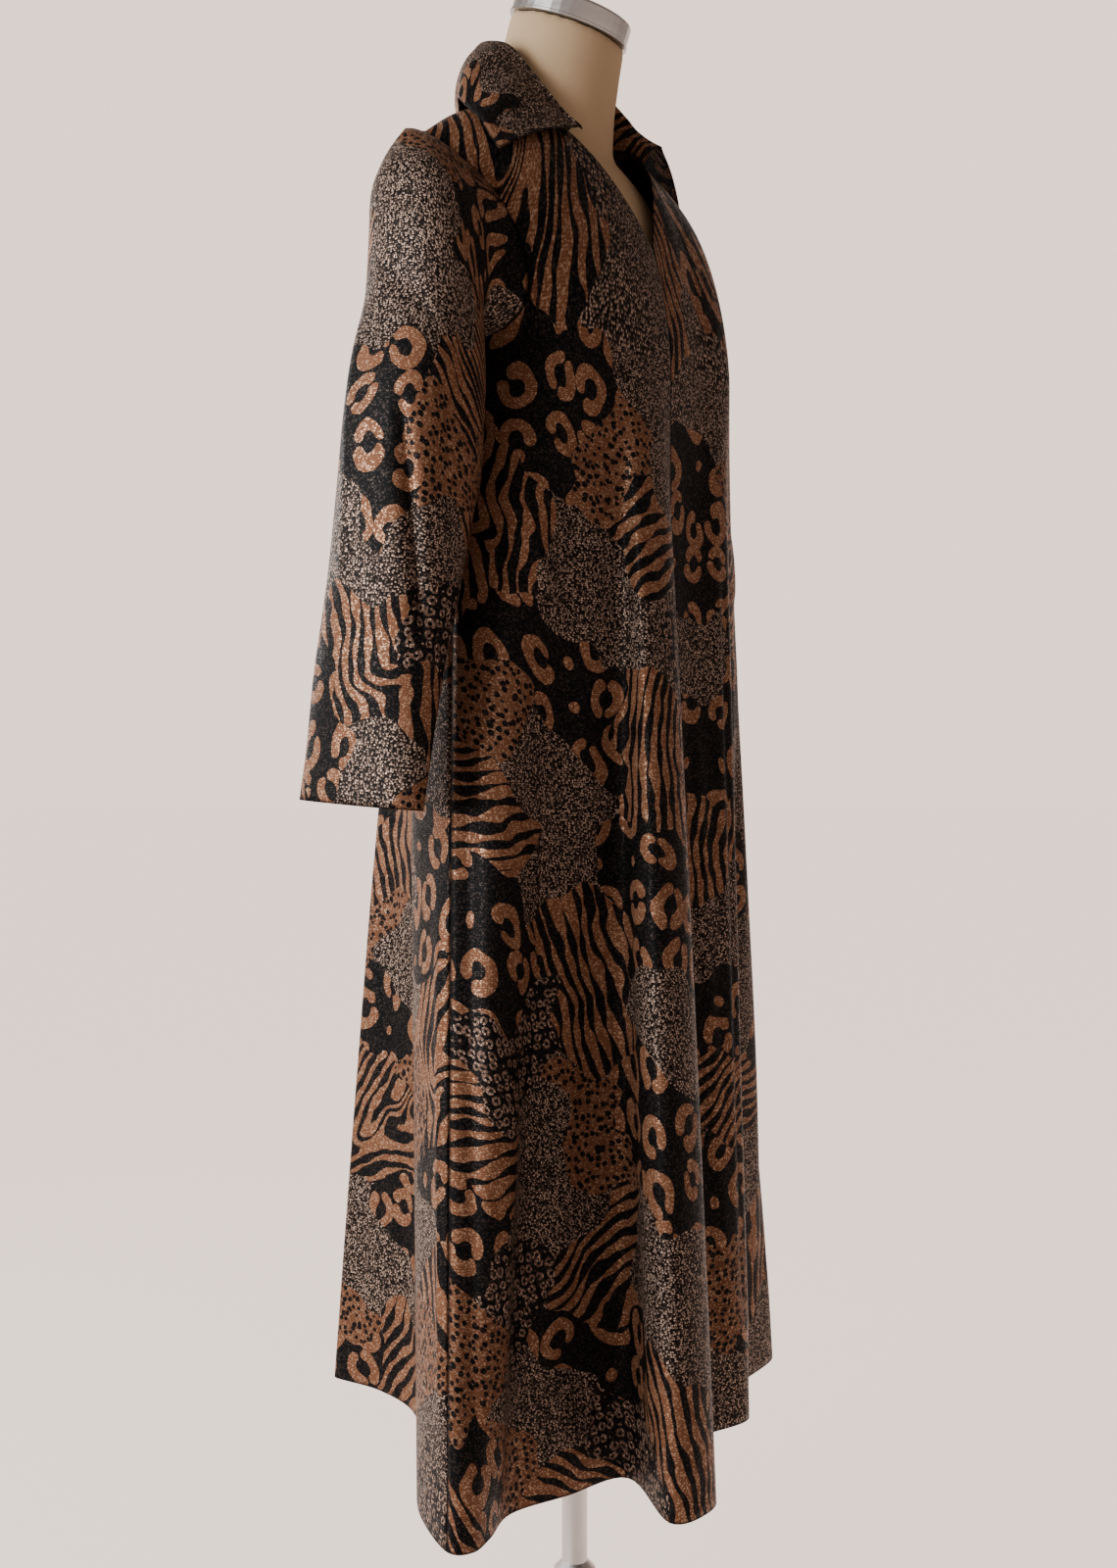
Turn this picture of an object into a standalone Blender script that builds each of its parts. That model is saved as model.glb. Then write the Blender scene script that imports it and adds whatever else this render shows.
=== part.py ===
"""Kaftan dress on a limbless dress form: fronts, back, dropped sleeves and a large turned-down
collar as cloth walls of their true shape, over a smooth form with a neck cap, a pole and a base.

Metres, +Z up. The dress faces -Y and the wearer's right is -X. The origin is the middle of
the underside of the stand's base.
"""

import math

import bmesh
import bpy
import numpy as np

# Cloth
WALL = 0.002
SEAM_GAP = 0.0003
LAY_GAP = 0.0005
SAME_POINT = 0.00001

# Heights of the dress
UNDERARM_Z = 1.360
V_BOTTOM_Z = 1.479
NECK_SIDE_X = 0.0779
NECKLINE_CROWDING = 1.6
SHOULDER_SPREAD = 1.14
ARMHOLE_TOP_X = 0.176
ARMHOLE_SCOOP = {"front": 0.017, "back": 0.014}
ARMHOLE_LOW = 0.7
SIDE_Y = 0.020
RIDGE_Y = 0.030
RIDGE_Y_SLOPE = 0.05
BACK_NECK_RISE = 0.050
BACK_NECK_DIP = 0.16
FLARE = 0.76
HANG = 0.045

# Stand and form
BASE_RADIUS = 0.185
BASE_THICKNESS = 0.012
POLE_RADIUS = 0.0135
FORM_BOTTOM_Z = 0.840
NECK_TILT = math.radians(21)
CAP_HEIGHT = 0.0225
CAP_RADIUS = 0.0635

# Shoulder line of the dress: distance from the middle, height
RIDGE = (
    (0.000, 1.655), (0.078, 1.629), (0.110, 1.6185), (0.135, 1.6085), (0.155, 1.597),
    (0.175, 1.5825), (0.200, 1.564),
)

# The dress goes round from the centre front by the wearer's right, the back and the left.
# Each line runs from the underarm level to the hem, down a fold's crest, flank or valley.
# Columns: name, x and y at the underarm level, x, y and z at the hem
FOLD_LINES = (
    ("centre_front", 0.000, -0.1180, 0.030, -0.100, 0.232),
    ("front_right_in", -0.022, -0.1178, -0.020, -0.178, 0.238),
    ("front_right_tip", -0.045, -0.1163, -0.066, -0.200, 0.243),
    ("front_right_out", -0.0684, -0.1138, -0.106, -0.180, 0.243),
    ("right_valley_in", -0.088, -0.1110, -0.052, -0.100, 0.245),
    ("right_valley_mid", -0.108, -0.1060, -0.110, -0.066, 0.240),
    ("right_valley_out", -0.128, -0.0980, -0.166, -0.040, 0.237),
    ("right_fold_front", -0.15, -0.0810, -0.224, -0.060, 0.242),
    ("right_fold_nose", -0.167, -0.0490, -0.258, -0.066, 0.244),
    ("side_right", -0.176, 0.0200, -0.272, -0.048, 0.245),
    ("right_fold_back", -0.167, 0.0750, -0.240, 0.005, 0.243),
    ("right_fold_rear", -0.150, 0.1040, -0.196, 0.052, 0.238),
    ("back_right_valley", -0.128, 0.1240, -0.120, 0.112, 0.236),
    ("back_right_in", -0.108, 0.1340, -0.062, 0.168, 0.250),
    ("back_right_side", -0.088, 0.1410, -0.057, 0.222, 0.262),
    ("back_right_tip", -0.0684, 0.1455, -0.064, 0.284, 0.266),
    ("back_right_out", -0.045, 0.1480, -0.030, 0.270, 0.262),
    ("centre_back", 0.000, 0.1500, 0.008, 0.225, 0.250),
    ("back_left_out", 0.045, 0.1480, 0.050, 0.262, 0.258),
    ("back_left_tip", 0.0684, 0.1455, 0.090, 0.272, 0.262),
    ("back_left_side", 0.088, 0.1410, 0.098, 0.205, 0.250),
    ("back_left_in", 0.108, 0.1340, 0.108, 0.150, 0.240),
    ("back_left_valley", 0.128, 0.1240, 0.160, 0.105, 0.236),
    ("left_fold_rear", 0.150, 0.1040, 0.232, 0.070, 0.238),
    ("left_fold_back", 0.167, 0.0750, 0.292, 0.020, 0.243),
    ("side_left", 0.176, 0.0200, 0.333, -0.042, 0.248),
    ("left_fold_nose", 0.167, -0.0680, 0.316, -0.070, 0.247),
    ("left_fold_front", 0.150, -0.1000, 0.258, -0.066, 0.240),
    ("left_valley", 0.128, -0.1150, 0.205, -0.058, 0.235),
    ("front_left_out", 0.108, -0.1180, 0.182, -0.105, 0.238),
    ("front_left_tip", 0.088, -0.1170, 0.150, -0.124, 0.240),
    ("front_left_in", 0.0684, -0.1150, 0.112, -0.104, 0.236),
    ("front_left_edge", 0.045, -0.1163, 0.084, -0.086, 0.233),
    ("centre_valley", 0.022, -0.1178, 0.056, -0.086, 0.232),
)
STEPS_PER_LINE = 2
LINE = {row[0]: i * STEPS_PER_LINE for i, row in enumerate(FOLD_LINES)}
SKIRT_ROWS = (1.0, 0.86, 0.70, 0.54, 0.40, 0.28, 0.18, 0.11, 0.06, 0.025, 0.0)
YOKE_ROWS = (0.0, 0.035, 0.09, 0.18, 0.30, 0.44, 0.58, 0.71, 0.82, 0.91, 0.97, 1.0)

# Profile of the chest and the back over the shoulder: the two powers of a rounded arc
FRONT_ARC = (1.5, 1.95)
BACK_ARC = (2.2, 2.2)
# The wearer's left front stands fuller: added to its second power from this far out
LEFT_FULLNESS = 0.7
LEFT_FULLNESS_X = 0.05

# Wearer's right sleeve, from the armhole to the cuff. The left is its mirror image, shifted.
# Columns: x and z of the outer line, x and z of the inner line, y of the middle, half width
SLEEVE_RINGS = (
    (-0.232, 1.544, -0.191, 1.360, 0.024, 0.068),
    (-0.258, 1.522, -0.198, 1.350, 0.014, 0.062),
    (-0.275, 1.500, -0.199, 1.334, 0.006, 0.056),
    (-0.284, 1.455, -0.199, 1.312, 0.002, 0.055),
    (-0.288, 1.400, -0.199, 1.285, 0.002, 0.057),
    (-0.300, 1.345, -0.200, 1.255, 0.004, 0.060),
    (-0.312, 1.285, -0.200, 1.219, 0.006, 0.061),
    (-0.313, 1.205, -0.206, 1.169, 0.014, 0.061),
    (-0.311, 1.120, -0.217, 1.107, 0.024, 0.063),
    (-0.309, 1.035, -0.236, 1.030, 0.035, 0.067),
    (-0.306, 0.965, -0.252, 0.963, 0.041, 0.069),
    (-0.306, 0.915, -0.264, 0.914, 0.045, 0.071),
)
SLEEVE_SQUARENESS = 2.4
SLEEVE_BLEND = (0.45, 0.15)
LEFT_SLEEVE_SHIFT = (0.021, 0.036)
LEFT_SHIFT_RINGS = 4
CUFF_FRONT_DROP = 0.005

# Collar, from the wearer's right front edge to the centre back. The left front edge stands
# higher, so it has stations of its own, given mirrored, and shares the rest.
# Columns: neckline x, side of the shoulder line, x, y, z of the roll and of the edge, crown
COLLAR_STATIONS = (
    (0.0605, "front", -0.0620, -0.0484, 1.5935, -0.1735, -0.0314, 1.5395, 0.005),
    (0.0670, "front", -0.0660, -0.0310, 1.6110, -0.1690, -0.0160, 1.5590, 0.008),
    (0.0730, "front", -0.0740, -0.0150, 1.6340, -0.1660, -0.0020, 1.5790, 0.010),
    (0.0775, "front", -0.0800, 0.0060, 1.6620, -0.1560, 0.0210, 1.5985, 0.010),
    (0.0760, "back", -0.0830, 0.0280, 1.6870, -0.1470, 0.0390, 1.6150, 0.010),
    (0.0680, "back", -0.0830, 0.0560, 1.6965, -0.1190, 0.0605, 1.6220, 0.010),
    (0.0520, "back", -0.0680, 0.0800, 1.6985, -0.0790, 0.0890, 1.6220, 0.010),
    (0.0280, "back", -0.0370, 0.0985, 1.7080, -0.0460, 0.1130, 1.6300, 0.010),
    (0.0000, "back", 0.0000, 0.1060, 1.7110, 0.0000, 0.1210, 1.6330, 0.010),
)
LEFT_COLLAR_STATIONS = (
    (0.0605, "front", -0.0800, -0.0585, 1.6155, -0.1700, -0.0310, 1.5640, 0.010),
    (0.0670, "front", -0.0830, -0.0405, 1.6281, -0.1700, -0.0180, 1.5760, 0.010),
    (0.0730, "front", -0.0840, -0.0237, 1.6431, -0.1640, 0.0060, 1.5920, 0.010),
    (0.0775, "front", -0.0850, -0.0089, 1.6609, -0.1560, 0.0230, 1.6030, 0.010),
    (0.0760, "back", -0.0850, 0.0150, 1.6840, -0.1470, 0.0400, 1.6150, 0.010),
)
ROLL_RADIUS = 0.0032
STAND_BOW = 0.006

# Torso of the form below the underarm: height, half width, front depth, back depth
FORM_SECTIONS = (
    (1.360, 0.163, 0.108, 0.112),
    (1.300, 0.156, 0.109, 0.104),
    (1.245, 0.134, 0.096, 0.093),
    (1.195, 0.122, 0.088, 0.086),
    (1.120, 0.140, 0.092, 0.102),
    (1.040, 0.163, 0.099, 0.119),
    (0.970, 0.169, 0.101, 0.124),
    (0.900, 0.164, 0.098, 0.117),
    (0.855, 0.156, 0.092, 0.108),
    (FORM_BOTTOM_Z, 0.146, 0.085, 0.098),
)
FORM_SPREAD = 1.12
FORM_NECK_DIP = 0.020
NECK_CLEAR_X = 0.130
FORM_COLUMNS = 18
FORM_POWER = 2.3

# Neck of the form: height of the middle, y of the middle, radius, share of the tilt
NECK_SECTIONS = (
    (1.560, 0.036, 0.072, 0.0),
    (1.612, 0.034, 0.069, 0.1),
    (1.650, 0.028, 0.066, 0.35),
    (1.695, 0.018, 0.0640, 0.7),
    (1.730, 0.0084, 0.0625, 1.0),
)
NECK_SIDES = 32


def clear_scene():
    """Remove whatever the scene holds."""
    for obj in list(bpy.data.objects):
        bpy.data.objects.remove(obj)


def make_material(name, colour, roughness, metallic=0.0):
    """A plain finish for the solids."""
    material = bpy.data.materials.new(name)
    material.use_nodes = True
    shader = material.node_tree.nodes["Principled BSDF"]
    shader.inputs["Base Color"].default_value = (*colour, 1.0)
    shader.inputs["Roughness"].default_value = roughness
    shader.inputs["Metallic"].default_value = metallic
    return material


def ridge_height(x):
    """Height of the shoulder line at a distance x from the middle."""
    steps, heights = zip(*RIDGE)
    return float(np.interp(abs(x), steps, heights))


def ridge_depth(x):
    """Place of the shoulder line from front to back."""
    return RIDGE_Y + RIDGE_Y_SLOPE * abs(x)


def closed_spline(points, steps):
    """Points on a closed smooth curve through the given ones, with this many steps between two."""
    points = np.asarray(points, float)
    before, after = np.roll(points, 1, axis=0), np.roll(points, -1, axis=0)
    far = np.roll(points, -2, axis=0)
    found = []
    for step in range(steps):
        f = step / steps
        found.append(
            0.5 * (2 * points + (after - before) * f
                   + (2 * before - 5 * points + 4 * after - far) * f**2
                   + (3 * points - before - 3 * after + far) * f**3)
        )
    return np.stack(found, axis=1).reshape(-1, points.shape[1])


def open_spline(points, steps):
    """Points on a smooth curve from the first of the given points to the last."""
    points = np.asarray(points, float)
    ends = np.vstack([2 * points[:1] - points[1:2], points, 2 * points[-1:] - points[-2:-1]])
    looped = closed_spline(ends, steps)
    return looped[steps : steps * len(points) + 1]


def smooth_step(value):
    """A smooth rise from 0 to 1 as the value goes from 0 to 1."""
    value = min(1.0, max(0.0, value))
    return value * value * (3 - 2 * value)


class Torso:
    """The smooth surface over chest, shoulders and back, above the underarm level."""

    def __init__(self, section, spread, back_rise, left_fullness=0.0, inset=0.0, neck_inset=0.0):
        """section is the closed plan curve at the underarm level, as x and y."""
        front = section[:, 1] < SIDE_Y
        self.curves = {}
        for side, half in (("front", section[front]), ("back", section[~front])):
            self.curves[side] = half[np.argsort(half[:, 0])]
        self.spread = spread
        self.back_rise = back_rise
        self.left_fullness = left_fullness
        self.inset = inset
        self.neck_inset = neck_inset

    def top_x(self, x):
        """Where on the shoulder line a point at x of the underarm level ends."""
        return x * self.spread

    def point(self, side, x, share):
        """A point above x of the underarm level, at a share of the way up to the shoulder."""
        curve = self.curves[side]
        y_low = float(np.interp(x, curve[:, 0], curve[:, 1]))
        top = self.top_x(x)
        z_top = ridge_height(top) - self.inset
        z_top -= self.neck_inset * max(0.0, 1 - abs(top) / NECK_CLEAR_X) ** 2
        power, root = FRONT_ARC if side == "front" else BACK_ARC
        if side == "front":
            root += self.left_fullness * smooth_step(x / LEFT_FULLNESS_X)
        else:
            z_top += self.back_rise * max(0.0, 1 - (top / NECK_SIDE_X) ** 2)
        reach = max(0.0, 1 - share**power) ** (1 / root)
        y_top = ridge_depth(top)
        return np.array([
            x * (1 + (self.spread - 1) * share),
            y_top - (y_top - y_low) * reach,
            UNDERARM_Z + (z_top - UNDERARM_Z) * share,
        ])


def neck_share(torso, side, x):
    """How far up a column reaches before the neck opening cuts it: 1 at the shoulder line."""
    top = abs(torso.top_x(x))
    if top >= NECK_SIDE_X:
        return 1.0
    if side == "back":
        return 1 - BACK_NECK_DIP * (1 - (top / NECK_SIDE_X) ** 2)
    height = V_BOTTOM_Z + (ridge_height(NECK_SIDE_X) - V_BOTTOM_Z) * top / NECK_SIDE_X
    return (height - UNDERARM_Z) / (ridge_height(top) - UNDERARM_Z)


def crowded(x, share):
    """Draw the columns under the neck opening towards its side, where the neckline bends most."""
    side = NECK_SIDE_X / SHOULDER_SPREAD
    at = min(1.0, abs(x) / side)
    shift = side * (1 - (1 - at) ** NECKLINE_CROWDING - at)
    return x + math.copysign(shift, x) * share**2


def armhole_x(side, share):
    """Where the armhole cuts a row of the torso, measured at the underarm level."""
    return ARMHOLE_TOP_X - ARMHOLE_SCOOP[side] * math.sin(math.pi * share**ARMHOLE_LOW)


def garment_surface():
    """The dress's outer surface without its collar: points, and the faces of each cut piece."""
    rows = [row[1:] for row in FOLD_LINES]
    bust = closed_spline([(x, y) for x, y, _, _, _ in rows], STEPS_PER_LINE)
    hem = closed_spline([(x, y, z) for _, _, x, y, z in rows], STEPS_PER_LINE)
    count = len(bust)
    points = []
    skirt = []
    for share in SKIRT_ROWS:
        ring = []
        flare = share**FLARE * (1 - math.exp(-share / HANG))
        for i in range(count):
            plan = bust[i] + (hem[i][:2] - bust[i]) * flare
            ring.append(len(points))
            points.append([*plan, UNDERARM_Z + (hem[i][2] - UNDERARM_Z) * share])
        skirt.append(ring)

    torso = Torso(closed_spline([(x, y) for x, y, _, _, _ in rows], 8), SHOULDER_SPREAD,
                  BACK_NECK_RISE, LEFT_FULLNESS)
    side_right, side_left = LINE["side_right"], LINE["side_left"]
    spans = {
        "front_right": list(range(0, side_right + 1)),
        "front_left": [*range(side_left, count), 0],
        "back": list(range(side_right, side_left + 1)),
    }
    faces = {}
    grids = {}
    shoulder = []
    for name, span in spans.items():
        side = "back" if name == "back" else "front"
        grid = [[ring[i] for i in span] for ring in skirt]
        for share in YOKE_ROWS[1:]:
            row = []
            for i in span:
                x = crowded(bust[i][0] / ARMHOLE_TOP_X * armhole_x(side, share), share)
                at = share * neck_share(torso, side, x)
                place = torso.point(side, x, at)
                met = [n for n in shoulder if np.abs(points[n] - place).max() < SAME_POINT]
                row.append(met[0] if met else len(points))
                if not met:
                    points.append(place)
            grid.append(row)
        shoulder += grid[-1]
        grids[name] = grid
        faces[name] = grid_faces(grid)
    return np.array(points, float), faces, grids, torso


def grid_faces(grid):
    """Quads between neighbouring rows of a grid of point numbers."""
    return [
        (low[k], low[k + 1], high[k + 1], high[k])
        for low, high in zip(grid, grid[1:])
        for k in range(len(low) - 1)
    ]


def armhole_loop(grids, name):
    """Point numbers round the wearer's right or left armhole, from the shoulder by the front."""
    first = len(SKIRT_ROWS) - 1
    last = -1 if name == "right" else 0
    front = [row[last] for row in grids[f"front_{name}"][first:]]
    back = [row[0 if name == "right" else -1] for row in grids["back"][first:]]
    return front[::-1] + back[1:-1]


def sleeve_ring(points, loop, row, index, mirrored):
    """One section of a sleeve, which leaves the armhole's own shape over the first rings."""
    x_out, z_out, x_in, z_in, y_mid, half = row
    loop_points = points[loop]
    lengths = np.linalg.norm(np.diff(np.vstack([loop_points, loop_points[:1]]), axis=0), axis=1)
    turns = np.concatenate([[0], np.cumsum(lengths)[:-1]]) / lengths.sum() * 2 * math.pi
    low = (len(SLEEVE_RINGS) - index) / len(SLEEVE_RINGS)
    drop = CUFF_FRONT_DROP * (1 - low)
    outer, inner = np.array([x_out, y_mid, z_out]), np.array([x_in, y_mid, z_in])
    middle, reach = (outer + inner) / 2, (outer - inner) / 2
    forward = np.array([0, -half, -drop])
    ring = []
    for turn in turns:
        c, s = math.cos(turn), math.sin(turn)
        c = math.copysign(abs(c) ** (2 / SLEEVE_SQUARENESS), c)
        s = math.copysign(abs(s) ** (2 / SLEEVE_SQUARENESS), s)
        place = middle + reach * c + forward * s
        if mirrored:
            out, back = np.array(LEFT_SLEEVE_SHIFT) * min(1, index / LEFT_SHIFT_RINGS)
            place = place * (-1, 1, 1) + (out, back, 0)
        ring.append(place)
    ring = np.array(ring)
    if index < len(SLEEVE_BLEND):
        shift = ring.mean(axis=0) - loop_points.mean(axis=0)
        ring += SLEEVE_BLEND[index] * (loop_points + shift - ring)
    return ring


def add_sleeve(points, faces, grids, name):
    """Add a sleeve's points and faces to the dress's surface."""
    loop = armhole_loop(grids, name)
    rings = [loop]
    for index, row in enumerate(SLEEVE_RINGS):
        ring = sleeve_ring(points, loop, row, index, name == "left")
        rings.append(list(range(len(points), len(points) + len(ring))))
        points = np.vstack([points, ring])
    closed = [ring + ring[:1] for ring in rings]
    quads = grid_faces(closed)
    if name == "left":
        quads = [quad[::-1] for quad in quads]
    faces[f"sleeve_{name}"] = quads
    return points


def point_normals(points, faces):
    """Normals of the whole surface at its points, so that pieces agree along a seam."""
    normals = np.zeros_like(points)
    for face in faces:
        corners = points[list(face)]
        normal = np.cross(corners[2] - corners[0], corners[3] - corners[1])
        normals[list(face)] += normal / max(np.linalg.norm(normal), 1e-12)
    return normals / np.maximum(np.linalg.norm(normals, axis=1, keepdims=True), 1e-12)


def cloth_piece(name, points, normals, faces, material, gap=SEAM_GAP / 2):
    """A closed cloth wall on these faces: the surface is its outside, and its edges keep a gap."""
    used = sorted({number for face in faces for number in face})
    edges = {}
    for face in faces:
        for a, b in zip(face, face[1:] + face[:1]):
            edges[(a, b)] = face
    rim = [(a, b) for a, b in edges if (b, a) not in edges]
    inward = {}
    for a, b in rim:
        way = points[list(edges[(a, b)])].mean(axis=0) - (points[a] + points[b]) / 2
        along = points[b] - points[a]
        way -= along * (way @ along) / (along @ along)
        for number in (a, b):
            inward.setdefault(number, []).append(way / np.linalg.norm(way))
    mesh = bmesh.new()
    outer, inner = {}, {}
    for number in used:
        place, normal = points[number].copy(), normals[number]
        if number in inward:
            aim = sum(inward[number])
            aim -= normal * (aim @ normal)
            aim /= np.linalg.norm(aim)
            place += aim * gap / max(0.5, aim @ inward[number][0])
        outer[number] = mesh.verts.new(place)
        inner[number] = mesh.verts.new(place - normal * WALL)
    for face in faces:
        mesh.faces.new([outer[number] for number in face])
        mesh.faces.new([inner[number] for number in face[::-1]])
    for a, b in rim:
        mesh.faces.new((outer[b], outer[a], inner[a], inner[b]))
    return finish_mesh(name, mesh, material)


def finish_mesh(name, mesh, material):
    """Turn a bmesh into an object whose faces point outwards."""
    bmesh.ops.triangulate(mesh, faces=mesh.faces[:])
    if mesh.calc_volume(signed=True) < 0:
        bmesh.ops.reverse_faces(mesh, faces=mesh.faces[:])
    data = bpy.data.meshes.new(name)
    mesh.to_mesh(data)
    mesh.free()
    data.shade_smooth()
    data.materials.append(material)
    obj = bpy.data.objects.new(name, data)
    PARTS.objects.link(obj)
    return obj


def collar_half(torso, stations, hand):
    """Seam, roll, edge and crown along half the collar, on the right for -1 and left for 1."""
    rows = []
    for neck_x, side, *places, crown in stations:
        x = hand * neck_x / SHOULDER_SPREAD
        seam = torso.point(side, x, neck_share(torso, side, x)) + (0, 0, LAY_GAP)
        roll, edge = np.array(places).reshape(2, 3) * (-hand, 1, 1)
        rows.append(np.concatenate([seam, roll, edge, [crown]]))
    return open_spline(rows, 2)


def build_collar(torso, material):
    """The collar, one wall from the neckline up, over the roll and down to its edge."""
    right = collar_half(torso, COLLAR_STATIONS, -1)
    shared = COLLAR_STATIONS[len(LEFT_COLLAR_STATIONS):]
    left = collar_half(torso, LEFT_COLLAR_STATIONS + shared, 1)
    stations = np.vstack([right, left[-2::-1]])
    up = np.array([0, 0, 1.0])
    grid_points = []
    for row in stations:
        seam, roll, edge = row[:9].reshape(3, 3)
        fall = edge - roll
        out = fall * (1, 1, 0)
        out /= np.linalg.norm(out)
        crown = np.cross(np.cross(fall, up), fall)
        crown *= row[9] / np.linalg.norm(crown)
        start = roll + out * ROLL_RADIUS
        inside = roll - out * ROLL_RADIUS
        grid_points.append([
            seam,
            (seam + inside) / 2 + up * STAND_BOW,
            inside,
            roll + up * ROLL_RADIUS,
            start,
            start + (edge - start) / 3 + crown,
            start + (edge - start) * 2 / 3 + crown,
            edge,
        ])
    across = len(grid_points[0])
    points = np.array(grid_points).reshape(-1, 3)
    grid = [[i * across + k for k in range(across)] for i in range(len(stations))]
    faces = grid_faces(grid)
    normals = point_normals(points, faces)
    if normals[across * (len(stations) // 2) + across - 2][1] < 0:
        faces = [face[::-1] for face in faces]
        normals = -normals
    return cloth_piece("collar", points, normals, faces, material, gap=0.0)


def form_section(half_width, front, back, columns=FORM_COLUMNS):
    """Closed plan curve of the torso, from the centre front round by the wearer's right."""
    ring = []
    for step in range(2 * columns):
        turn = math.pi * step / columns
        c, s = math.cos(turn), math.sin(turn)
        c = math.copysign(abs(c) ** (2 / FORM_POWER), c)
        s = math.copysign(abs(s) ** (2 / FORM_POWER), s)
        depth = front + SIDE_Y if c > 0 else back - SIDE_Y
        ring.append((-half_width * s, SIDE_Y - depth * c))
    return np.array(ring)


def build_form(material):
    """The torso with its neck, one smooth closed body inside the dress."""
    mesh = bmesh.new()
    rings = []
    for height, *sizes in FORM_SECTIONS[::-1]:
        rings.append([mesh.verts.new((x, y, height)) for x, y in form_section(*sizes)])
    section = form_section(*FORM_SECTIONS[0][1:])
    dense = form_section(*FORM_SECTIONS[0][1:], columns=90)
    torso = Torso(dense, FORM_SPREAD, BACK_NECK_RISE / 2, inset=WALL + LAY_GAP,
                  neck_inset=FORM_NECK_DIP)
    for share in YOKE_ROWS[2:-1]:
        ring = []
        for number, (x, _) in enumerate(section):
            side = "back" if FORM_COLUMNS / 2 < number < 1.5 * FORM_COLUMNS else "front"
            ring.append(mesh.verts.new(torso.point(side, x, share)))
        rings.append(ring)
    for low, high in zip(rings, rings[1:]):
        for k in range(len(low)):
            n = (k + 1) % len(low)
            mesh.faces.new((low[k], low[n], high[n], high[k]))
    mesh.faces.new(rings[0][::-1])
    close_ridge(mesh, torso, section, rings[-1])
    obj = finish_mesh("form_body", mesh, material)
    neck = neck_solid()
    join = obj.modifiers.new("neck", "BOOLEAN")
    join.operation = "UNION"
    join.object = neck
    return obj


def close_ridge(mesh, torso, section, ring):
    """Close the torso along the shoulder line, where its front and its back meet."""
    quarter, count = FORM_COLUMNS // 2, len(ring)
    top = {}
    for k in range(-quarter, quarter + 1):
        x = section[k % count][0]
        top[k] = mesh.verts.new(torso.point("front", x, 1.0))
    for k in range(-quarter, quarter):
        front_a, front_b = ring[k % count], ring[(k + 1) % count]
        mirror_a, mirror_b = ring[(FORM_COLUMNS - k) % count], ring[(FORM_COLUMNS - k - 1) % count]
        mesh.faces.new((front_a, front_b, top[k + 1], top[k]))
        mesh.faces.new((mirror_b, mirror_a, top[k], top[k + 1]))


def neck_solid():
    """The neck, a closed loft of circles that lean forward, used to complete the torso."""
    mesh = bmesh.new()
    rings = []
    for height, depth, radius, lean in NECK_SECTIONS:
        tilt = NECK_TILT * lean
        ring = []
        for side in range(NECK_SIDES):
            turn = 2 * math.pi * side / NECK_SIDES
            along = radius * math.sin(turn)
            ring.append(mesh.verts.new((
                radius * math.cos(turn),
                depth + along * math.cos(tilt),
                height + along * math.sin(tilt),
            )))
        rings.append(ring)
    for low, high in zip(rings, rings[1:]):
        for k in range(NECK_SIDES):
            n = (k + 1) % NECK_SIDES
            mesh.faces.new((low[k], low[n], high[n], high[k]))
    mesh.faces.new(rings[0][::-1])
    mesh.faces.new(rings[-1])
    if mesh.calc_volume(signed=True) < 0:
        bmesh.ops.reverse_faces(mesh, faces=mesh.faces[:])
    data = bpy.data.meshes.new("neck_join")
    mesh.to_mesh(data)
    mesh.free()
    obj = bpy.data.objects.new("neck_join", data)
    CUTTERS.objects.link(obj)
    obj.hide_render = True
    obj.display_type = "WIRE"
    return obj


def turned(name, profile, material, steps=36):
    """A turned solid from an outer profile of radius and height, top to bottom."""
    data = bpy.data.meshes.new(name)
    data.from_pydata([(r, 0, z) for r, z in profile],
                     [(i, i + 1) for i in range(len(profile) - 1)], [])
    data.materials.append(material)
    obj = bpy.data.objects.new(name, data)
    PARTS.objects.link(obj)
    screw = obj.modifiers.new("turn", "SCREW")
    screw.steps = steps
    screw.render_steps = steps
    screw.use_merge_vertices = True
    screw.merge_threshold = 0.0001
    return obj


def build_cap(material):
    """The metal cap that closes the form's neck, square to the neck's lean."""
    lip, edge = 0.0012, 0.003
    profile = (
        (0.0, CAP_HEIGHT + 0.0015),
        (CAP_RADIUS * 0.6, CAP_HEIGHT + 0.0010),
        (CAP_RADIUS - edge, CAP_HEIGHT),
        (CAP_RADIUS - edge * 0.3, CAP_HEIGHT - edge * 0.3),
        (CAP_RADIUS, CAP_HEIGHT - edge),
        (CAP_RADIUS, 0.003),
        (CAP_RADIUS + lip, 0.0022),
        (CAP_RADIUS + lip, 0.0),
        (0.0, 0.0),
    )
    obj = turned("neck_cap", profile, material, steps=40)
    height, depth = NECK_SECTIONS[-1][:2]
    obj.rotation_euler = (NECK_TILT, 0, 0)
    obj.location = (
        0,
        depth - SEAM_GAP * math.sin(NECK_TILT),
        height + SEAM_GAP * math.cos(NECK_TILT),
    )
    return obj


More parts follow.
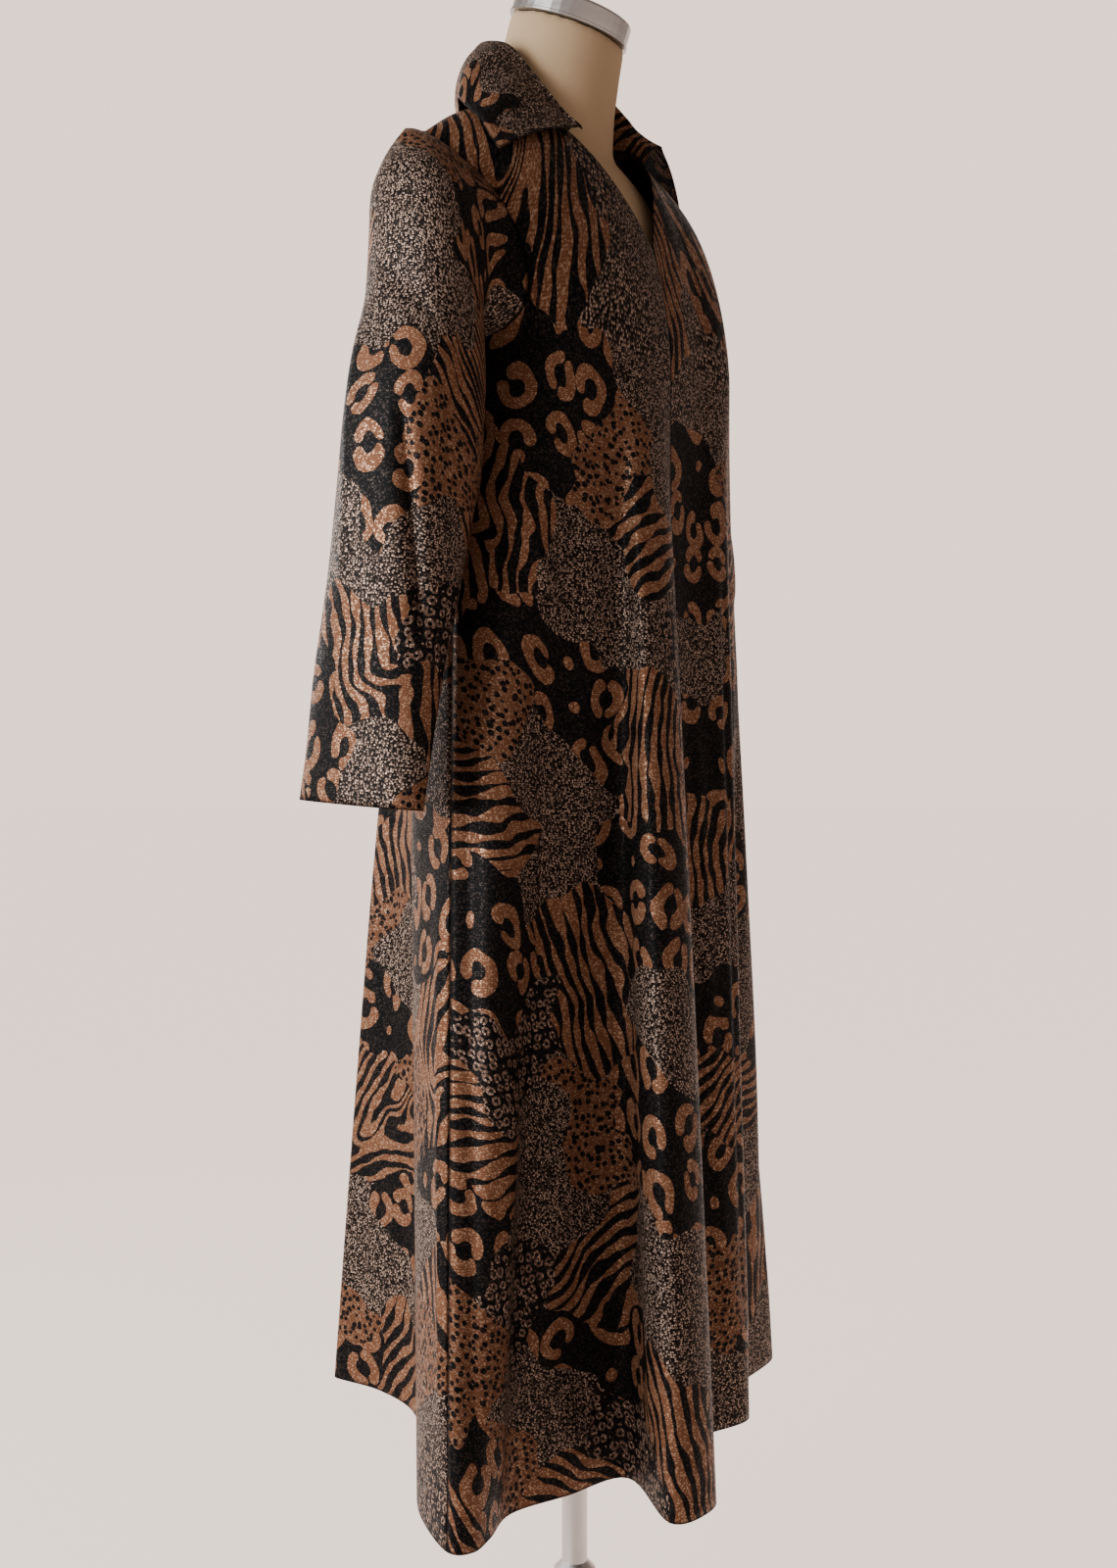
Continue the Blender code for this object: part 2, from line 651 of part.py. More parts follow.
def build_stand(material):
    """The pole with its plate under the torso, and the round base."""
    plate_radius, plate_thickness = 0.045, 0.006
    socket_radius, socket_top = 0.022, 0.110
    pole_bottom = BASE_THICKNESS + SEAM_GAP
    top = FORM_BOTTOM_Z - SEAM_GAP
    turned("stand_pole", (
        (0.0, top),
        (plate_radius, top),
        (plate_radius, top - plate_thickness),
        (POLE_RADIUS, top - 0.018),
        (POLE_RADIUS, socket_top + 0.006),
        (socket_radius - 0.003, socket_top),
        (socket_radius, socket_top - 0.003),
        (socket_radius, pole_bottom + 0.02),
        (socket_radius + 0.012, pole_bottom),
        (0.0, pole_bottom),
    ), material, steps=28)
    turned("stand_base", (
        (0.0, BASE_THICKNESS),
        (BASE_RADIUS - 0.006, BASE_THICKNESS),
        (BASE_RADIUS - 0.0018, BASE_THICKNESS - 0.0018),
        (BASE_RADIUS, BASE_THICKNESS - 0.006),
        (BASE_RADIUS, 0.001),
        (BASE_RADIUS - 0.001, 0.0),
        (0.0, 0.0),
    ), material, steps=48)


def build_garment(cloths):
    """Every cut piece of the dress, each its own wall."""
    points, faces, grids, torso = garment_surface()
    for name in ("right", "left"):
        points = add_sleeve(points, faces, grids, name)
    normals = point_normals(points, [face for piece in faces.values() for face in piece])
    outward = normals[grids["back"][3][len(grids["back"][3]) // 2]][1]
    if outward < 0:
        normals = -normals
        faces = {name: [face[::-1] for face in piece] for name, piece in faces.items()}
    for name, piece in faces.items():
        cloth_piece(name, points, normals, piece, cloths[name.split("_")[0]])
    build_collar(torso, cloths["collar"])


clear_scene()
PARTS = bpy.data.collections.new("kaftan_dress")
CUTTERS = bpy.data.collections.new("joining_shapes")
for collection in (PARTS, CUTTERS):
    bpy.context.scene.collection.children.link(collection)

CLOTHS = {
    "front": make_material("jersey_front", (0.10, 0.055, 0.040), 0.55),
    "back": make_material("jersey_back", (0.09, 0.050, 0.036), 0.55),
    "sleeve": make_material("jersey_sleeve", (0.12, 0.065, 0.045), 0.55),
    "collar": make_material("jersey_collar", (0.08, 0.050, 0.045), 0.55),
}
build_garment(CLOTHS)
build_form(make_material("linen", (0.62, 0.52, 0.42), 0.85))
build_cap(make_material("brushed_metal", (0.66, 0.66, 0.65), 0.35, 1.0))
build_stand(make_material("satin_steel", (0.62, 0.61, 0.60), 0.38, 1.0))
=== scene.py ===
"""Kaftan dress on a limbless dress form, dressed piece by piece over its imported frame.

Metres, +Z up. The dress faces -Y and the wearer's right is -X, as in the CAD model. Each cloth
piece is a thin shell on the form of its solid, and the patchwork print is laid out on the flat
cloth of that piece: its UV map holds metres of cloth.
"""

import logging
import math
from dataclasses import dataclass, field
from enum import Enum

import bmesh
import bpy
import numpy as np
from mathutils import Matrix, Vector
from mathutils.bvhtree import BVHTree
from numpy.typing import NDArray


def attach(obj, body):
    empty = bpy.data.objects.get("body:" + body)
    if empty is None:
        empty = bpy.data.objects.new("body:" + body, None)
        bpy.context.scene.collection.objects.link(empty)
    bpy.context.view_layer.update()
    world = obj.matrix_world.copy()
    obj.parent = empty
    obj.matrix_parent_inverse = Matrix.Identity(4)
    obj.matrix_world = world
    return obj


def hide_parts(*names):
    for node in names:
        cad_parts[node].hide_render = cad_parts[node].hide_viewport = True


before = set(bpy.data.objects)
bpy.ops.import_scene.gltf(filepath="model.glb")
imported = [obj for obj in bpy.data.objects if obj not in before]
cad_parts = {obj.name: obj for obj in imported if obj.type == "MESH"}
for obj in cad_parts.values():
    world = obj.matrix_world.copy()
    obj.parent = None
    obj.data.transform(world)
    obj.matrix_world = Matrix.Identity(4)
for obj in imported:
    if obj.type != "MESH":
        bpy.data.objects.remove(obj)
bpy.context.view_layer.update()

LOG = logging.getLogger("kaftan_dress")
Points = NDArray[np.float64]
ROOT = "root"
BODY_AXIS = (0.0, 0.02, 0.0)

# Sizes of the knit and of the print's patterns, in metres of cloth
KNIT_ROW = 0.0021
GLINT_CELL = 0.0013
SPECKLE_CELL = 0.0021
OCELOT_CELL = 0.0082
STRIPE_PITCH = 0.0142
ROSETTE_SIZE = (0.043, 0.051)
BUD_SIZE = (0.0098, 0.0106)


class Patch(Enum):
    """The five animal patterns of the print."""

    SPECKLE = 0
    ROSETTE = 1
    ZEBRA = 2
    OCELOT = 3
    BUD = 4


class Hand(Enum):
    """A side of the wearer."""

    RIGHT = "right"
    LEFT = "left"


# ---------------------------------------------------------------------------------------
# Curves and grids


def closed_spline(points: Points, steps: int) -> Points:
    """Points on a closed smooth curve through the given ones.

    Args:
        points: The points to pass through, one a row.
        steps: How many steps lie between two of them.

    Returns:
        The points of the curve, without the first one again at the end.
    """
    points = np.asarray(points, float)
    before, after = np.roll(points, 1, axis=0), np.roll(points, -1, axis=0)
    far = np.roll(points, -2, axis=0)
    shares = np.arange(steps)[:, None, None] / steps
    curve = 0.5 * (
        2 * points
        + (after - before) * shares
        + (2 * before - 5 * points + 4 * after - far) * shares**2
        + (3 * points - before - 3 * after + far) * shares**3
    )
    return curve.transpose(1, 0, 2).reshape(-1, points.shape[1])


def open_spline(points: Points, steps: int) -> Points:
    """Points on a smooth curve from the first of the given points to the last.

    Args:
        points: The points to pass through, one a row.
        steps: How many steps lie between two of them.

    Returns:
        The points of the curve, both ends included.
    """
    points = np.asarray(points, float)
    ends = np.vstack([2 * points[:1] - points[1:2], points, 2 * points[-1:] - points[-2:-1]])
    return closed_spline(ends, steps)[steps : steps * len(points) + 1]


def smooth_step(value: Points) -> Points:
    """A smooth rise from 0 to 1 as the value goes from 0 to 1."""
    value = np.clip(value, 0, 1)
    return value * value * (3 - 2 * value)


def run_lengths(points: Points, axis: int) -> Points:
    """Distance run along one axis of a grid of points, from its first row or column.

    Args:
        points: A grid of points, with x, y and z along the last axis.
        axis: The axis to run along.

    Returns:
        The distances, one for each point.
    """
    steps = np.linalg.norm(np.diff(points, axis=axis), axis=-1)
    return np.insert(np.cumsum(steps, axis=axis), 0, 0.0, axis=axis)


def grid_normals(grid: Points, closed: bool = False) -> Points:
    """Unit normals of a grid of points, across the columns and then up the rows.

    Args:
        grid: Points by row and column.
        closed: Whether the last column joins the first.

    Returns:
        A unit normal for each point.
    """
    if closed:
        wide = np.concatenate([grid[:, -1:], grid, grid[:, :1]], axis=1)
        across = np.gradient(wide, axis=1)[:, 1:-1]
    else:
        across = np.gradient(grid, axis=1)
    normals = np.cross(across, np.gradient(grid, axis=0))
    return normals / np.maximum(np.linalg.norm(normals, axis=-1, keepdims=True), 1e-12)


# ---------------------------------------------------------------------------------------
# The camera


@dataclass(frozen=True)
class PhotoCamera:
    """The photograph's camera, level with the dress's hips, in its own 1140 x 1600 frame."""

    width: int = 1140
    height: int = 1600
    focal: float = 1600.0
    azimuth: float = math.radians(-55)
    distance: float = 1.656
    eye_height: float = 0.934
    left_of_axis: float = 0.017
    sensor: float = 36.0

    @property
    def forward(self) -> Vector:
        """The way the camera looks."""
        return Vector((-math.sin(self.azimuth), math.cos(self.azimuth), 0.0))

    @property
    def rightward(self) -> Vector:
        """The way to the right in the picture."""
        return Vector((math.cos(self.azimuth), math.sin(self.azimuth), 0.0))

    @property
    def place(self) -> Vector:
        """Where the camera stands."""
        place = -self.distance * self.forward - self.left_of_axis * self.rightward
        return Vector((place.x, place.y, self.eye_height))

    def ray(self, across: float, down: float) -> Vector:
        """Direction of the line of sight through a pixel.

        Args:
            across: Pixels from the picture's left edge.
            down: Pixels from its top edge.

        Returns:
            The direction, of length 1.
        """
        way = (
            self.forward
            + self.rightward * (across - self.width / 2) / self.focal
            + Vector((0, 0, 1)) * (self.height / 2 - down) / self.focal
        )
        return way.normalized()

    def build(self) -> None:
        """Make the scene's camera."""
        data = bpy.data.cameras.new("photo_camera")
        data.sensor_width = self.sensor
        data.lens = self.focal / self.height * self.sensor
        camera = bpy.data.objects.new("photo_camera", data)
        camera.location = self.place
        camera.rotation_euler = (math.pi / 2, 0, self.azimuth)
        bpy.context.scene.collection.objects.link(camera)
        bpy.context.scene.camera = camera


# ---------------------------------------------------------------------------------------
# Shader graphs


class Graph:
    """Adds nodes to a node tree and links them."""

    def __init__(self, tree: bpy.types.NodeTree) -> None:
        """Start on a tree."""
        self.tree = tree

    def add(self, kind: str, inputs: dict | None = None, **settings) -> bpy.types.Node:
        """Add one node.

        Args:
            kind: The node's type, without ShaderNode in front.
            inputs: Values or sockets for its inputs, by name or number.
            settings: Values for the node's own settings.

        Returns:
            The node.
        """
        node = self.tree.nodes.new(kind if kind.startswith("Node") else f"ShaderNode{kind}")
        for name, value in settings.items():
            setattr(node, name, value)
        for name, value in (inputs or {}).items():
            self.put(node.inputs[name], value)
        return node

    def put(self, socket: bpy.types.NodeSocket, value) -> None:
        """Link a socket to an input, or set the input's value."""
        if isinstance(value, bpy.types.NodeSocket):
            self.tree.links.new(value, socket)
        else:
            socket.default_value = value

    def math(self, operation: str, a, b=0.0, c=0.0, clamp: bool = False) -> bpy.types.NodeSocket:
        """The result of a Math node on up to three values or sockets."""
        node = self.add("Math", operation=operation, use_clamp=clamp)
        for number, value in enumerate((a, b, c)):
            if number < len(node.inputs):
                self.put(node.inputs[number], value)
        return node.outputs[0]

    def step(self, value, low: float, high: float) -> bpy.types.NodeSocket:
        """0 below low and 1 above high, with a smooth rise between."""
        node = self.add(
            "MapRange",
            {"Value": value, "From Min": low, "From Max": high},
            interpolation_type="SMOOTHSTEP",
        )
        return node.outputs[0]

    def blend(self, share, below, above) -> bpy.types.NodeSocket:
        """A colour that goes from below to above with the share."""
        node = self.add("Mix", data_type="RGBA")
        self.put(node.inputs[0], share)
        self.put(node.inputs[6], below)
        self.put(node.inputs[7], above)
        return node.outputs[2]

    def level(self, share, below, above) -> bpy.types.NodeSocket:
        """A value that goes from below to above with the share."""
        node = self.add("Mix", data_type="FLOAT")
        self.put(node.inputs[0], share)
        self.put(node.inputs[2], below)
        self.put(node.inputs[3], above)
        return node.outputs[0]


def new_group(name: str, inputs: dict[str, str], outputs: dict[str, str]) -> tuple:
    """Make an empty shader node group.

    Args:
        name: The group's name.
        inputs: Type of each input socket, by name.
        outputs: Type of each output socket, by name.

    Returns:
        The group, its graph, its input node's sockets and its output node's sockets.
    """
    group = bpy.data.node_groups.new(name, "ShaderNodeTree")
    for way, sockets in (("INPUT", inputs), ("OUTPUT", outputs)):
        for label, kind in sockets.items():
            group.interface.new_socket(label, in_out=way, socket_type=f"NodeSocket{kind}")
    graph = Graph(group)
    return group, graph, graph.add("NodeGroupInput").outputs, graph.add("NodeGroupOutput").inputs


def cells_of(
    g: Graph, place: bpy.types.NodeSocket, size: float, chaos: float = 1.0
) -> tuple[bpy.types.Node, bpy.types.bpy_prop_collection]:
    """Scattered cells, each with three chance values.

    Args:
        g: The graph to add to.
        place: The place that the cells divide up.
        size: Width of a cell, in the place's own unit.
        chaos: How unevenly the cells lie.

    Returns:
        The node, and the sockets of its three chance values.
    """
    node = g.add("TexVoronoi", {"Vector": place, "Scale": 1 / size, "Randomness": chaos},
                 voronoi_dimensions="2D")
    return node, g.add("SeparateColor", {0: node.outputs["Color"]}).outputs


def knit_group() -> bpy.types.NodeTree:
    """Rows of fine jersey knit and flecks of its metal thread, whose glints the print paints in as
    lighter highlights.

    Returns:
        A group that takes the place on the cloth in metres, and puts out Rows, Glint and Grain.
    """
    group, g, given, out = new_group(
        "jersey_knit",
        {"Cloth": "Vector"},
        {"Rows": "Float", "Glint": "Float", "Grain": "Float"},
    )
    place = g.add("SeparateXYZ", {0: given["Cloth"]})
    waver = g.add("TexNoise", {"Vector": given["Cloth"], "Scale": 60.0, "Detail": 1.0})
    course = g.math("DIVIDE", place.outputs["Y"], KNIT_ROW)
    course = g.math("ADD", course, g.math("MULTIPLY", waver.outputs["Fac"], 0.8))
    rows = g.math("SINE", g.math("MULTIPLY", course, 2 * math.pi))
    g.put(out["Rows"], g.math("MULTIPLY_ADD", rows, 0.5, 0.5))
    _, chance = cells_of(g, given["Cloth"], GLINT_CELL)
    g.put(out["Glint"], g.step(chance[0], 0.62, 1.0))
    bead, luck = cells_of(g, given["Cloth"], SPECKLE_CELL)
    near = g.step(bead.outputs["Distance"], 0.58, 0.18)
    g.put(out["Grain"], g.math("MULTIPLY", near, g.math("POWER", luck[1], 1.9)))
    return group


def spots_group() -> bpy.types.NodeTree:
    """Cat spots on a plain ground: rings with one or two round-ended gaps, and blobs.

    Returns:
        A group that takes the place on the cloth and the sizes of a spot, and puts out a Mask.
    """
    group, g, given, out = new_group(
        "cat_spots",
        {"Cloth": "Vector", "Width": "Float", "Height": "Float", "Ragged": "Float"},
        {"Mask": "Float"},
    )
    ring, band, blobs = 0.295, 0.124, 0.15
    gap_one, gap_two = 0.62, 0.52
    size = g.add("CombineXYZ", {0: given["Width"], 1: given["Height"], 2: 1.0})
    cells = g.add("VectorMath", {0: given["Cloth"], 1: size.outputs[0]}, operation="DIVIDE")
    drift = g.add("TexNoise", {"Vector": cells.outputs[0], "Scale": 0.6, "Detail": 1.0})
    centred = g.add("VectorMath", {0: drift.outputs["Color"], 1: (0.5, 0.5, 0.5)},
                    operation="SUBTRACT")
    swayed = g.add("VectorMath", {0: centred.outputs[0], 1: (0.8, 0.8, 0.0), 2: cells.outputs[0]},
                   operation="MULTIPLY_ADD")
    spot, chance = cells_of(g, swayed.outputs[0], 1.0, 0.36)
    local = g.add("VectorMath", {0: swayed.outputs[0], 1: spot.outputs["Position"]},
                  operation="SUBTRACT")
    turned = g.add("VectorRotate",
                   {"Vector": local.outputs[0],
                    "Angle": g.math("MULTIPLY", chance[0], 2 * math.pi)},
                   rotation_type="Z_AXIS")
    around = g.add("SeparateXYZ", {0: turned.outputs[0]})
    both = g.math("GREATER_THAN", chance[1], 0.55)
    x = g.level(both, around.outputs["X"], g.math("ABSOLUTE", around.outputs["X"]))
    y = g.math("ABSOLUTE", around.outputs["Y"])
    whole = g.math("GREATER_THAN", chance[2], blobs)
    radius = g.math("MULTIPLY", whole, ring)
    gap = g.level(both, gap_one, gap_two)
    away = g.math("SQRT", g.math("ADD", g.math("MULTIPLY", x, x), g.math("MULTIPLY", y, y)))
    to_ring = g.math("ABSOLUTE", g.math("SUBTRACT", away, radius))
    end_x = g.math("SUBTRACT", x, g.math("MULTIPLY", radius, g.math("COSINE", gap)))
    end_y = g.math("SUBTRACT", y, g.math("MULTIPLY", radius, g.math("SINE", gap)))
    to_end = g.math("SQRT", g.math("ADD", g.math("MULTIPLY", end_x, end_x),
                                   g.math("MULTIPLY", end_y, end_y)))
    inside_gap = g.math("LESS_THAN", g.math("ARCTAN2", y, x), gap)
    reach = g.level(inside_gap, to_ring, to_end)
    rough = g.add("TexNoise", {"Vector": cells.outputs[0], "Scale": 3.2, "Detail": 2.0})
    reach = g.math("ADD", reach, g.math("MULTIPLY", g.math("SUBTRACT", rough.outputs["Fac"], 0.5),
                                        given["Ragged"]))
    g.put(out["Mask"], g.math("LESS_THAN", reach, band))
    return group


def stripes_group() -> bpy.types.NodeTree:
    """Wavy zebra stripes that swell, pinch off and fork.

    Returns:
        A group that takes the place on the cloth and the run across the stripes in metres,
        and puts out a Mask.
    """
    group, g, given, out = new_group(
        "zebra_stripes",
        {"Cloth": "Vector", "Across": "Float"},
        {"Mask": "Float"},
    )
    sway = g.add("TexNoise", {"Vector": given["Cloth"], "Scale": 9.0, "Detail": 1.0})
    waver = g.add("TexNoise", {"Vector": given["Cloth"], "Scale": 38.0, "Detail": 1.0})
    phase = g.math("DIVIDE", given["Across"], STRIPE_PITCH)
    phase = g.math("ADD", phase, g.math("MULTIPLY", sway.outputs["Fac"], 4.0))
    phase = g.math("ADD", phase, g.math("MULTIPLY", waver.outputs["Fac"], 0.6))
    wave = g.math("PINGPONG", phase, 0.5)
    swell = g.add("TexNoise", {"Vector": given["Cloth"], "Scale": 30.0, "Detail": 0.0})
    limit = g.math("MULTIPLY_ADD", g.math("SUBTRACT", swell.outputs["Fac"], 0.5), 0.70, 0.215)
    g.put(out["Mask"], g.step(g.math("SUBTRACT", wave, limit), 0.0, 0.04))
    return group


def print_group() -> bpy.types.NodeTree:
    """The whole patchwork print on knit jersey, with painted highlights on the glints of its metal
    thread.

    Returns:
        A group that takes the place on the cloth, the run across the stripes and how far the
        place lies inside each kind of patch, and puts out Colour, Metal, Rough and Height.
    """
    group, g, given, out = new_group(
        "patchwork_print",
        {
            "Cloth": "Vector", "Across": "Float", "Rosette": "Float", "Zebra": "Float",
            "Ocelot": "Float", "Bud": "Float", "Edge": "Float",
        },
        {"Colour": "Color", "Metal": "Float", "Rough": "Float", "Height": "Float"},
    )
    ground, copper = (0.0014, 0.0015, 0.0021, 1), (0.155, 0.066, 0.034, 1)
    soot, silver = (0.0042, 0.0026, 0.0022, 1), (0.52, 0.37, 0.29, 1)
    # The first colour on the next line is a painted highlight, a pale copper for the glint flecks
    # of the metal thread.
    glint_highlight, umber = (0.66, 0.44, 0.29, 1), (0.030, 0.0105, 0.0055, 1)
    ash = (0.085, 0.050, 0.036, 1)

    knit = g.add("Group", node_tree=knit_group())
    g.put(knit.inputs["Cloth"], given["Cloth"])
    rows, glint, grain = (knit.outputs[name] for name in ("Rows", "Glint", "Grain"))

    spots = spots_group()

    def cat(width: float, height: float, ragged: float) -> bpy.types.NodeSocket:
        """A spot mask of one size."""
        node = g.add("Group", node_tree=spots)
        g.put(node.inputs["Cloth"], given["Cloth"])
        for label, value in zip(("Width", "Height", "Ragged"), (width, height, ragged)):
            node.inputs[label].default_value = value
        return node.outputs["Mask"]

    stripes = g.add("Group", node_tree=stripes_group())
    g.put(stripes.inputs["Cloth"], given["Cloth"])
    g.put(stripes.inputs["Across"], given["Across"])
    crumb, chance = cells_of(g, given["Cloth"], OCELOT_CELL)
    dot = g.math("LESS_THAN", crumb.outputs["Distance"],
                 g.math("MULTIPLY_ADD", chance[0], 0.20, 0.20))

    here = {
        name: g.math("GREATER_THAN", given[name], 0.0)
        for name in ("Rosette", "Zebra", "Ocelot", "Bud")
    }
    motif = g.math("MULTIPLY", here["Rosette"], cat(*ROSETTE_SIZE, 0.08))
    for name, mask in (("Zebra", stripes.outputs["Mask"]),
                       ("Ocelot", g.math("SUBTRACT", 1.0, dot))):
        motif = g.math("MAXIMUM", motif, g.math("MULTIPLY", here[name], mask))
    small = g.math("MULTIPLY", here["Bud"], cat(*BUD_SIZE, 0.20))
    patterned = g.math("MAXIMUM", g.math("MAXIMUM", here["Rosette"], here["Zebra"]),
                       g.math("MAXIMUM", here["Ocelot"], here["Bud"]))

    # Painted highlight: the glint flecks lift the plain ground a little towards silver.
    dark = g.blend(g.math("MULTIPLY", glint, 0.05), ground, silver)
    speckle = g.blend(grain, soot, silver)
    warm = g.blend(g.math("MULTIPLY", rows, 0.40), copper, umber)
    # Painted highlight: the glint flecks are painted lighter, towards a pale copper; their extra
    # metal and lower roughness further down are the thread's own.
    warm = g.blend(g.math("MULTIPLY", glint, 0.42), warm, glint_highlight)
    warm = g.blend(g.math("MULTIPLY", here["Ocelot"], 0.25), warm, umber)
    colour = g.blend(patterned, speckle, dark)
    colour = g.blend(motif, colour, warm)
    colour = g.blend(small, colour, g.blend(grain, ash, silver))
    inner = g.step(given["Edge"], 0.0004, 0.0030)
    g.put(out["Colour"], g.blend(g.math("MULTIPLY_ADD", inner, 0.75, 0.25), ground, colour))

    metal = g.level(motif, g.level(patterned, g.math("MULTIPLY", grain, 0.5), 0.0), 0.20)
    g.put(out["Metal"], g.math("ADD", metal, g.math("MULTIPLY", glint, 0.35), clamp=True))
    g.put(out["Rough"], g.level(glint, 0.60, 0.36))
    lift = g.math("ADD", g.math("MULTIPLY", motif, 0.5), g.math("MULTIPLY", small, 0.4))
    lift = g.math("ADD", lift, g.math("MULTIPLY", rows, 0.35))
    lift = g.math("ADD", lift, g.math("MULTIPLY", inner, 2.5))
    g.put(out["Height"], g.math("ADD", lift, g.math("MULTIPLY", grain, 0.5)))
    return group


def grain_group() -> bpy.types.NodeTree:
    """Even fine grain and slow patches, for linen and metal.

    Returns:
        A group that takes a place and two scales, and puts out Fine and Slow.
    """
    group, g, given, out = new_group(
        "fine_grain",
        {"Place": "Vector", "Fine Scale": "Float", "Slow Scale": "Float"},
        {"Fine": "Float", "Slow": "Float"},
    )
    fine = g.add("TexNoise", {"Vector": given["Place"], "Scale": given["Fine Scale"],
                              "Detail": 3.0})
    slow = g.add("TexNoise", {"Vector": given["Place"], "Scale": given["Slow Scale"],
                              "Detail": 2.0})
    g.put(out["Fine"], fine.outputs["Fac"])
    g.put(out["Slow"], slow.outputs["Fac"])
    return group


# ---------------------------------------------------------------------------------------
# Finishes


def new_material(name: str) -> tuple[bpy.types.Material, Graph, bpy.types.Node]:
    """A material with its graph and its shader."""
    material = bpy.data.materials.new(name)
    material.use_nodes = True
    return material, Graph(material.node_tree), material.node_tree.nodes["Principled BSDF"]


@dataclass(frozen=True)
class PrintedJersey:
    """Printed jersey with metal thread."""

    name: str
    depth: float = 0.0004
    strength: float = 0.6
    specular: float = 0.06

    def build(self, tree: bpy.types.NodeTree) -> bpy.types.Material:
        """Make the material.

        Args:
            tree: The group with the patchwork print.

        Returns:
            The material.
        """
        material, g, shader = new_material(self.name)
        cloth = g.add("UVMap", uv_map="cloth")
        pattern = g.add("Group", node_tree=tree)
        g.put(pattern.inputs["Cloth"], cloth.outputs[0])
        for label, name in (("Across", "across"), ("Rosette", "rosette"), ("Zebra", "zebra"),
                            ("Ocelot", "ocelot"), ("Bud", "bud"), ("Edge", "edge")):
            given = g.add("Attribute", attribute_name=name)
            g.put(pattern.inputs[label], given.outputs["Fac"])
        bump = g.add("Bump", {"Height": pattern.outputs["Height"], "Distance": self.depth,
                              "Strength": self.strength})
        g.put(shader.inputs["Base Color"], pattern.outputs["Colour"])
        g.put(shader.inputs["Metallic"], pattern.outputs["Metal"])
        g.put(shader.inputs["Roughness"], pattern.outputs["Rough"])
        g.put(shader.inputs["Normal"], bump.outputs[0])
        shader.inputs["Specular IOR Level"].default_value = self.specular
        return material


@dataclass(frozen=True)
class Linen:
    """Bare linen stretched over the form."""

    thread: float = 0.00075
    threads_round: float = 520.0
    fine_scale: float = 420.0
    slow_scale: float = 14.0
    colour: tuple[float, float, float, float] = (0.47, 0.345, 0.215, 1)
    worn: tuple[float, float, float, float] = (0.33, 0.23, 0.135, 1)

    def build(self, grain: bpy.types.NodeTree) -> bpy.types.Material:
        """Make the material.

        Args:
            grain: The group with fine grain.

        Returns:
            The material.
        """
        material, g, shader = new_material("bare_linen")
        place = g.add("TexCoord").outputs["Object"]
        noise = g.add("Group", node_tree=grain)
        g.put(noise.inputs["Place"], place)
        noise.inputs["Fine Scale"].default_value = self.fine_scale
        noise.inputs["Slow Scale"].default_value = self.slow_scale
        parts = g.add("SeparateXYZ", {0: place})
        turn = g.math("ARCTAN2", parts.outputs["Y"], parts.outputs["X"])
        warp = g.math("SINE", g.math("MULTIPLY", turn, self.threads_round))
        weft = g.math("SINE", g.math("MULTIPLY", parts.outputs["Z"], 2 * math.pi / self.thread))
        weave = g.math("MULTIPLY_ADD", g.math("MULTIPLY", warp, weft), 0.5, 0.5)
        tone = g.blend(noise.outputs["Slow"], self.worn, self.colour)
        tone = g.blend(g.math("MULTIPLY", noise.outputs["Fine"], 0.45), tone, self.worn)
        g.put(shader.inputs["Base Color"], g.blend(g.math("MULTIPLY", weave, 0.12), tone,
                                                   self.worn))
        height = g.math("ADD", g.math("MULTIPLY", weave, 0.5), noise.outputs["Fine"])
        bump = g.add("Bump", {"Height": height, "Distance": 0.0003, "Strength": 0.35})
        g.put(shader.inputs["Normal"], bump.outputs[0])
        shader.inputs["Roughness"].default_value = 0.9
        shader.inputs["Specular IOR Level"].default_value = 0.15
        return material


@dataclass(frozen=True)
class Metal:
    """A brushed or satin metal, brushed round the upright."""

    name: str
    colour: tuple[float, float, float, float]
    stain: tuple[float, float, float, float]
    roughness: float
    streaks: float
    fine_scale: float = 60.0
    slow_scale: float = 9.0
    spread: float = 0.22

    def build(self, grain: bpy.types.NodeTree) -> bpy.types.Material:
        """Make the material.

        Args:
            grain: The group with fine grain.

        Returns:
            The material.
        """
        material, g, shader = new_material(self.name)
        place = g.add("TexCoord").outputs["Object"]
        drawn = g.add("Mapping", {"Vector": place, "Scale": (1.0, 1.0, self.streaks)})
        noise = g.add("Group", node_tree=grain)
        g.put(noise.inputs["Place"], drawn.outputs[0])
        noise.inputs["Fine Scale"].default_value = self.fine_scale
        noise.inputs["Slow Scale"].default_value = self.slow_scale
        g.put(shader.inputs["Base Color"], g.blend(noise.outputs["Slow"], self.stain,
                                                   self.colour))
        rough = g.math("MULTIPLY_ADD", noise.outputs["Fine"], self.spread,
                       self.roughness - self.spread / 2)
        g.put(shader.inputs["Roughness"], rough)
        bump = g.add("Bump", {"Height": noise.outputs["Fine"], "Distance": 0.0002,
                              "Strength": 0.2})
        g.put(shader.inputs["Normal"], bump.outputs[0])
        shader.inputs["Metallic"].default_value = 1.0
        return material


